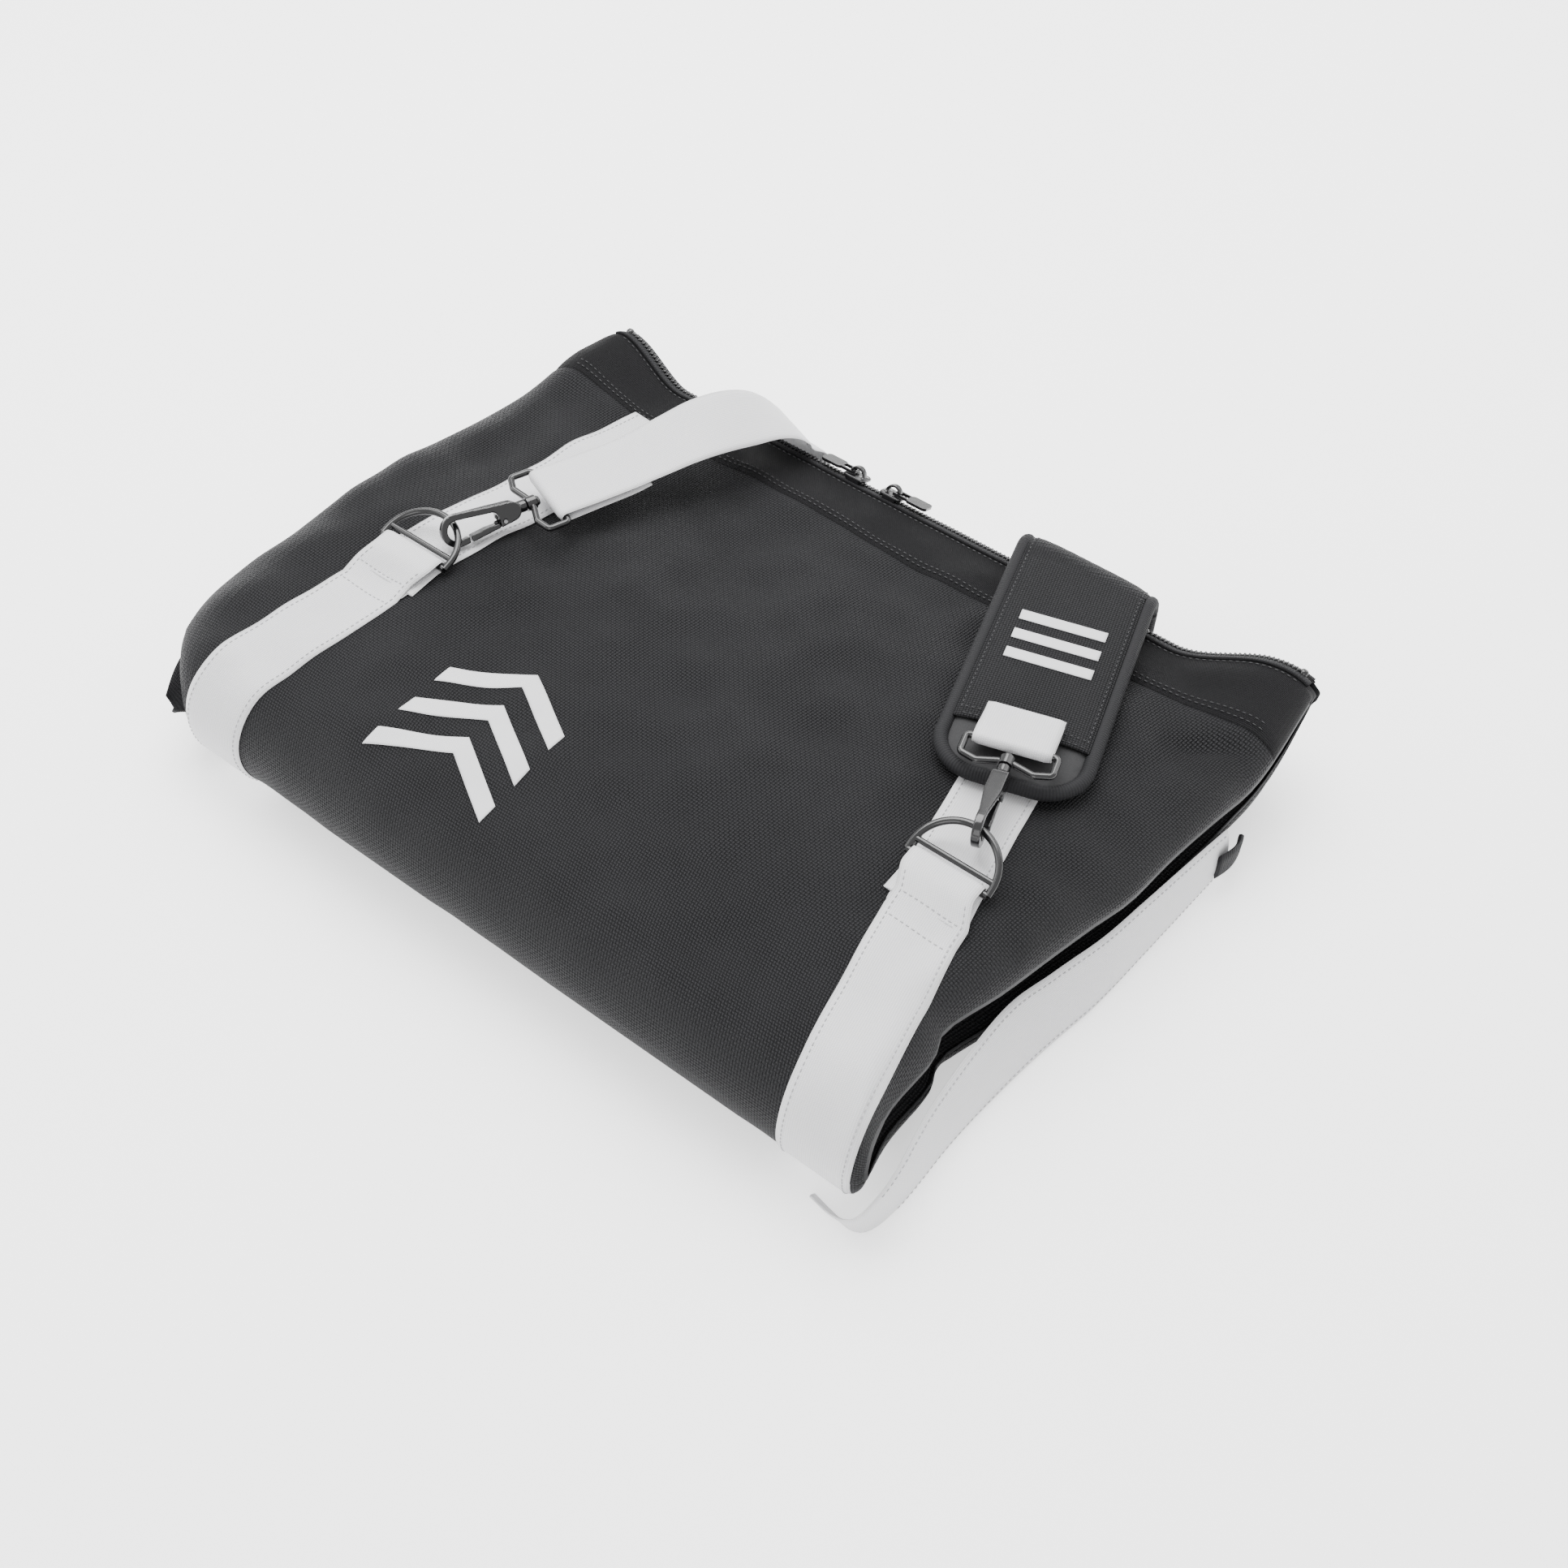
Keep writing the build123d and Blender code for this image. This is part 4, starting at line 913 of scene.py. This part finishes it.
# three chevrons sewn on the front
emblemLow, emblemHigh = box("front_emblem")
chevronKit = {"count": 3, "wide": 11.0, "rise": 22.0, "pitch": 24.0}
topLine = outlineLine[lipIndex:foldIndex]
for index in range(chevronKit["count"]):
    apexY = emblemLow[1] + chevronKit["rise"] + index * chevronKit["pitch"]
    middleX, halfX = (emblemLow[0] + emblemHigh[0]) / 2, (emblemHigh[0] - emblemLow[0]) / 2
    u = np.linspace(-1, 1, 49)
    v = np.linspace(0, 1, 9)
    x = middleX + halfX * u[:, None] + 0 * v[None, :]
    y = apexY - chevronKit["rise"] * np.abs(u)[:, None] + chevronKit["wide"] * v[None, :]
    order = np.argsort(topLine[:, 0])
    s = np.interp(y, topLine[order, 0], outlineRun[lipIndex:foldIndex][order])
    rows = surface(x, s, 0.1)
    piece, _, _ = band(f"chevron{index + 1}", rows, 0.0, 0.5, "print", "bag", (0, 0, 1))
    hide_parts("front_emblem")
print("chevrons ready")

# hardware: softened copies of the cast pieces, and finishes on the rest
castKit = {"voxel": 0.45, "smooth": 6}


def softened(node, name, body):
    piece = frame["nodes"][node].copy()
    piece.data = piece.data.copy()
    piece.name = name
    piece.parent = None
    bpy.context.collection.objects.link(piece)
    remesh = piece.modifiers.new("even", "REMESH")
    remesh.mode = "VOXEL"
    remesh.voxel_size = castKit["voxel"] * mm
    soften = piece.modifiers.new("soften", "SMOOTH")
    soften.factor = 0.5
    soften.iterations = castKit["smooth"]
    shape = bpy.data.meshes.new_from_object(piece.evaluated_get(bpy.context.evaluated_depsgraph_get()))
    piece.modifiers.clear()
    piece.data = shape
    shape.materials.clear()
    shape.materials.append(finish["metal"])
    shape.polygons.foreach_set("use_smooth", [True] * len(shape.polygons))
    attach(piece, body)
    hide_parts(node)
    return piece


for side in ("left", "right"):
    softened(f"hook_{side}", f"swivelHook{side.title()}", f"swivel_hook_{side}")
    softened(f"gate_{side}", f"hookGate{side.title()}", f"hook_gate_{side}")
    softened(f"slider_{side}", f"zipSlider{side.title()}", f"zip_slider_{side}")


def refinish(node, material):
    piece = frame["nodes"][node]
    for slot in piece.material_slots:
        slot.material = finish[material]


for side in ("left", "right"):
    for node in ("dring", "eye", "pull"):
        refinish(f"{node}_{side}", "metal")
    for node in ("gate_pin", "gate_spring"):
        refinish(f"{node}_{side}", "steel")
print("hardware ready")

# carry strap
strapHigh = box("shoulder_webbing")[1]
axes = {side: np.array(joints[f"hook_swivel_{side}"]["axis"]) for side in ("left", "right")}
jaws = {side: np.array(joints[f"hook_swivel_{side}"]["pos_m"]) / mm for side in ("left", "right")}
barReach = 52.7  # jaw to the eye's far bar
carrySeams = Seams("carryStitches", "thread", "carry_strap")
hangY = strapHigh[1] - 2 * 2.65 - 1.6


def eyeFrame(side):
    along = axes[side]
    level = np.cross(along, (0, 0, 1.0))
    level /= np.linalg.norm(level)
    return jaws[side] + along * barReach, along, level, np.cross(level, along)


def loopRow(frameOf, t, h, half, columns=13, shift=0.0):
    origin, along, level, up = frameOf
    across = np.linspace(-half, half, columns)[:, None] + shift
    return origin + along * t + up * h + level * across


leftFrame = eyeFrame("left")
wrap = 1.7 + 0.15 + 0.75
leftPath = [(50, 0.2), (40, -1.3), (20, -1.9), (6, -2.4)]
leftPath += [(wrap * cos(a), wrap * sin(a)) for a in np.linspace(-pi * 0.55, -pi * 1.45, 9)]
leftPath += [(6, 2.5), (20, 2.2), (40, 2.3), (50, 2.9)]
leftPath = smoothLine(leftPath, 70)
rows = [loopRow(leftFrame, t, h, 19) for t, h in leftPath]
runKit = [  # along, height off the strap's line, roll of the webbing in degrees, drift to the right
    (60, 4.0, -2, 0.0), (76, 6.5, -6, 0.5), (94, 8.0, -12, 1.0), (112, 6.0, -14, 1.0),
    (128, 1.5, -9, 0.5), (140, -6.0, -3, 0.0), (148, -14.5, 0, 0.0),
]
runLine = smoothLine(runKit, 60)
for t, h, roll, drift in runLine:
    row = loopRow(leftFrame, t, h, 19, shift=drift)
    offset = np.linspace(-19, 19, 13) * sin(radians(roll))
    row[:, 2] += offset
    rows.append(row)
rows = np.array(rows)
lastRow = rows[-1].copy()
dropLine = []
hangX = np.linspace(0, 1, 26)
for t in hangX:
    row = lastRow.copy()
    bend = smoothStep(t, 0, 0.3)
    row[:, 1] = lastRow[:, 1] * (1 - bend) + (hangY + 0.9) * bend
    row[:, 1] += 2.2 * sin(pi * min(1, t * 1.4))
    row[:, 2] = lastRow[:, 2] - 1.0 - (lastRow[:, 2] - 3.0) * t
    row[:, 0] = lastRow[:, 0] + 5 * t
    dropLine.append(row)
rows = np.concatenate([rows, dropLine[1:]])
carryLeft, high, normal = band("carryStrapLeft", rows, -0.75, 1.5, "webbing", "carry_strap")
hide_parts("shoulder_webbing")
edgeStitches(carrySeams, high[40:], normal[40:])
for index in (52, 54, 66):
    carrySeams.run(high[index, 1:-1], normal[index, 1:-1])

# slack of the strap, folded on edge behind the bag
slackKit = {"layers": 3, "pitch": 2.9, "left": -112.0, "right": 60.0, "height": 32.0, "slump": 8.0}
slackPath = []
for layer in range(slackKit["layers"]):
    y = hangY + 0.9 + layer * slackKit["pitch"]
    ends = (slackKit["left"], slackKit["right"])[:: -1 if layer % 2 else 1]
    for t in np.linspace(0, 1, 9):
        slackPath.append((ends[0] + (ends[1] - ends[0]) * t, y + 0.8 * sin(pi * t) * (1 if layer else 0.4)))
slackPath.append((108, hangY + 0.9 + 2 * slackKit["pitch"]))
slackPath = smoothLine(slackPath, 320)
rows = np.zeros((len(slackPath), 9, 3))
for j, h in enumerate(np.linspace(0, 1, 9)):
    rows[:, j, 0] = slackPath[:, 0]
    rows[:, j, 1] = slackPath[:, 1] + slackKit["slump"] * sin(pi * h)
    rows[:, j, 2] = 1.2 + slackKit["height"] * h + 1.2 * np.sin(slackPath[:, 0] / 40)
rows[-26:, :, 2] *= np.linspace(1, 0.28, 26)[:, None]
slack, high, normal = band("carryStrapSlack", rows, 0, 1.5, "webbing", "carry_strap")
print("carry strap ready")

# shoulder pad
padKit = {
    "half": 38.0, "front": -17.0, "corner": 24.0, "binding": 3.7,
    "nearZ": 0.8, "bend": 9.0, "end": 9.0, "thick": 7.4,
}
rightFrame = eyeFrame("right")
bar = rightFrame[0]
padLean = atan2(-axes["right"][0], axes["right"][1])
footZ = 59.4
slopeY = bar[1] + padKit["front"] - padKit["half"]
nearZ = bag["crestZ"] + padKit["nearZ"]


def padSide(depth):
    # side view of one layer of the pad: down the bag, over the zip and down behind
    bend = padKit["bend"] + depth
    hang = hangY + depth
    slope = (footZ - nearZ) / (hangY - slopeY)
    line = [(y, nearZ + depth + slope * (y - slopeY)) for y in np.linspace(slopeY, hang - bend, 60)]
    topZ = line[-1][1]
    for a in np.linspace(0, pi / 2, 16)[1:]:
        line.append((hang - bend + bend * sin(a), topZ - bend + bend * cos(a)))
    for z in np.linspace(topZ - bend, padKit["end"], 24)[1:]:
        line.append((hang, z))
    line = np.array(line)
    run = np.concatenate([[0], np.cumsum(np.linalg.norm(np.diff(line, axis=0), axis=1))])
    return line, run


def padPoint(p, q, depth):
    # p across the pad, q along it from the eye's bar
    line, run = padSide(0.0)
    p, q = np.broadcast_arrays(np.asarray(p, float), np.asarray(q, float))
    startY = bar[1] + q * cos(padLean) + p * sin(padLean)
    flatRun = np.interp(np.minimum(startY, hangY - padKit["bend"] - 0.5), line[:, 0], run)
    extra = np.maximum(startY - (hangY - padKit["bend"] - 0.5), 0)
    at = np.clip(flatRun + extra, 0, run[-1])
    y, z = np.interp(at, run, line[:, 0]), np.interp(at, run, line[:, 1])
    y2, z2 = np.interp(at + 0.8, run, line[:, 0]), np.interp(at + 0.8, run, line[:, 1])
    y1, z1 = np.interp(at - 0.8, run, line[:, 0]), np.interp(at - 0.8, run, line[:, 1])
    ty, tz = y2 - y1, z2 - z1
    size = np.maximum(np.hypot(ty, tz), 1e-6)
    depth = np.broadcast_to(depth, y.shape)
    yOut, zOut = y - tz / size * depth, z + ty / size * depth
    x = bar[0] + p / cos(padLean) - (y - bar[1]) * tan(padLean)
    return np.stack([x, yOut, zOut], axis=-1)


padLine, padRun = padSide(0.0)
bendY = hangY - padKit["bend"]
bendRun = np.interp(bendY, padLine[:60, 0], padRun[:60])
padLength = (bendY - bar[1]) / cos(padLean) + padRun[-1] - bendRun


def padOutline(inset, count=120):
    half, round_, start = padKit["half"] - inset, padKit["corner"] - inset, padKit["front"] + inset
    side = [(-half, q) for q in np.linspace(padLength, start + round_, 60)]
    turns = np.linspace(0, pi / 2, 14)[1:]
    curve = [(-half + round_ * (1 - cos(a)), start + round_ * (1 - sin(a))) for a in turns]
    front = [(p, start) for p in np.linspace(-half + round_, 0, 5)[1:]]
    outline = side + curve + front
    return np.array(outline + [(-p, q) for p, q in outline[::-1]][1:])


# the stuffed body of the pad, blown up by cloth simulation and held to its layers
rowsQ = np.linspace(padKit["front"] + 4, padLength, 90)
bodyTop, bodyLow = [], []
for q in rowsQ:
    short = max(0.0, padKit["front"] + padKit["corner"] - q)
    half = padKit["half"] - 3.4 - (padKit["corner"] - sqrt(max(padKit["corner"] ** 2 - short**2, 0)))
    p = np.linspace(-half, half, 36)
    crown = 1 - 0.25 * np.abs(p / max(half, 1)) ** 4
    bodyTop.append(padPoint(p, q, padKit["thick"] * 0.74 * crown))
    bodyLow.append(padPoint(p, q, 1.6))
bodyTop, bodyLow = np.array(bodyTop), np.array(bodyLow)
r, c = bodyTop.shape[:2]
verts = np.concatenate([bodyTop.reshape(-1, 3), bodyLow.reshape(-1, 3)])
faces = quads(r, c) + quads(r, c, r * c, flip=True)
rim = [i * c for i in range(r)] + [(r - 1) * c + j for j in range(1, c)]
rim += [i * c + c - 1 for i in range(r - 2, -1, -1)] + list(range(c - 2, 0, -1))
faces += [(a, b, r * c + b, r * c + a)[::-1] for a, b in zip(rim, rim[1:] + rim[:1])]
cloth = np.zeros((r, c, 3))
cloth[:, :, 0] = np.linspace(-38, 38, c)[None, :]
cloth[:, :, 1] = rowsQ[:, None]
cloth[:, :, 2] = 9
cloth = np.concatenate([cloth.reshape(-1, 3)] * 2)
padBody = tidyNormals(place("padBody", verts, faces, "pad", "carry_strap", cloth))
swellKit = {"voxel": 1.7, "pressure": 4.0, "frames": 20, "cap": 1.1, "keep": 0.5}


def swell(piece, kit):
    # the cover blown up like cloth round its filling, no point moving further than the cap
    even = piece.modifiers.new("even", "REMESH")
    even.mode = "VOXEL"
    even.voxel_size = kit["voxel"] * mm
    shape = bpy.data.meshes.new_from_object(piece.evaluated_get(bpy.context.evaluated_depsgraph_get()))
    piece.modifiers.clear()
    piece.data = shape
    start = np.empty(len(shape.vertices) * 3)
    shape.vertices.foreach_get("co", start)
    puff = piece.modifiers.new("puff", "CLOTH")
    puff.settings.use_pressure = True
    puff.settings.uniform_pressure_force = kit["pressure"]
    puff.settings.effector_weights.gravity = 0
    for frameNumber in range(1, kit["frames"] + 1):
        bpy.context.scene.frame_set(frameNumber)
    blown = bpy.data.meshes.new_from_object(piece.evaluated_get(bpy.context.evaluated_depsgraph_get()))
    piece.modifiers.clear()
    bpy.context.scene.frame_set(1)
    end = np.empty(len(start))
    blown.vertices.foreach_get("co", end)
    move = (end - start).reshape(-1, 3) * kit["keep"]
    far = np.maximum(np.linalg.norm(move, axis=1, keepdims=True), 1e-9)
    move *= np.minimum(1, kit["cap"] * mm / far)
    shape.vertices.foreach_set("co", (start.reshape(-1, 3) + move).ravel())
    finer = piece.modifiers.new("finer", "SUBSURF")
    finer.levels = finer.render_levels = 1
    final = bpy.data.meshes.new_from_object(piece.evaluated_get(bpy.context.evaluated_depsgraph_get()))
    piece.modifiers.clear()
    piece.data = final
    final.materials.clear()
    final.materials.append(finish["foam"])
    final.polygons.foreach_set("use_smooth", [True] * len(final.polygons))
    print("pad blown up, furthest move", round(float(np.linalg.norm(move, axis=1).max()) / mm, 2), "mm")


swell(padBody, swellKit)
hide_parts("pad_cover", "pad_foam", "pad_backing")

edgeLine = np.array([padPoint(p, q, padKit["thick"] * 0.5) for p, q in smoothLine(padOutline(2.6), 260)])
binding = tube("padBinding", edgeLine, padKit["binding"], "binding", "carry_strap", sides=14)
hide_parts("pad_binding")

# cover with its pocket edge, and the short webbing that comes out of it
coverQ = np.linspace(15, padLength, 80)
share = np.linspace(-1, 1, 25)
coverDepth = padKit["thick"] + 0.2 - 1.6 * np.abs(share) ** 5  # the cover dips into the binding at its sides
rows = np.array([padPoint(33.5 * share, q, coverDepth) for q in coverQ])
padCover, high, normal = band("padCover", rows, 0.0, 1.1, "pad", "carry_strap", (0, 0.3, 1))
darkSeams = Seams("padStitches", "darkThread", "carry_strap", pitch=3.2, length=2.2, thick=0.3)
for index in (1, 3):
    darkSeams.run(high[index, 1:-1], normal[index, 1:-1])
for column in (1, -2):
    darkSeams.run(high[2:, column], normal[2:, column])
piece = darkSeams.make()

shortPath = [(24, -4.6), (15, -4.4), (6, -3.0)]
shortPath += [(wrap * cos(a), wrap * sin(a)) for a in np.linspace(-pi * 0.6, -pi * 1.4, 9)]
shortPath += [(6, 1.9), (13, -0.4), (19, -1.9), (26, -2.9)]
rows = np.array([loopRow(rightFrame, t, h, 19) for t, h in smoothLine(shortPath, 54)])
carryRight, high, normal = band("carryStrapRight", rows, -0.75, 1.5, "webbing", "carry_strap")
edgeStitches(carrySeams, high[34:], normal[34:])
piece = carrySeams.make()

stripeKit = {"count": 3, "wide": 7.0, "half": 22.0, "pitch": 14.0, "middle": 78.0}
for index in range(stripeKit["count"]):
    middle = stripeKit["middle"] + (index - 1) * stripeKit["pitch"]
    q = middle + np.linspace(-0.5, 0.5, 7) * stripeKit["wide"]
    p = np.linspace(-1, 1, 25) * stripeKit["half"]
    rows = padPoint(p[:, None], q[None, :], padKit["thick"] + 0.2 + 1.1)
    piece, _, _ = band(f"padBar{index + 1}", rows, 0.0, 0.45, "print", "carry_strap", (0, 0.1, 1))
    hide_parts("pad_stripes")
print("pad ready")
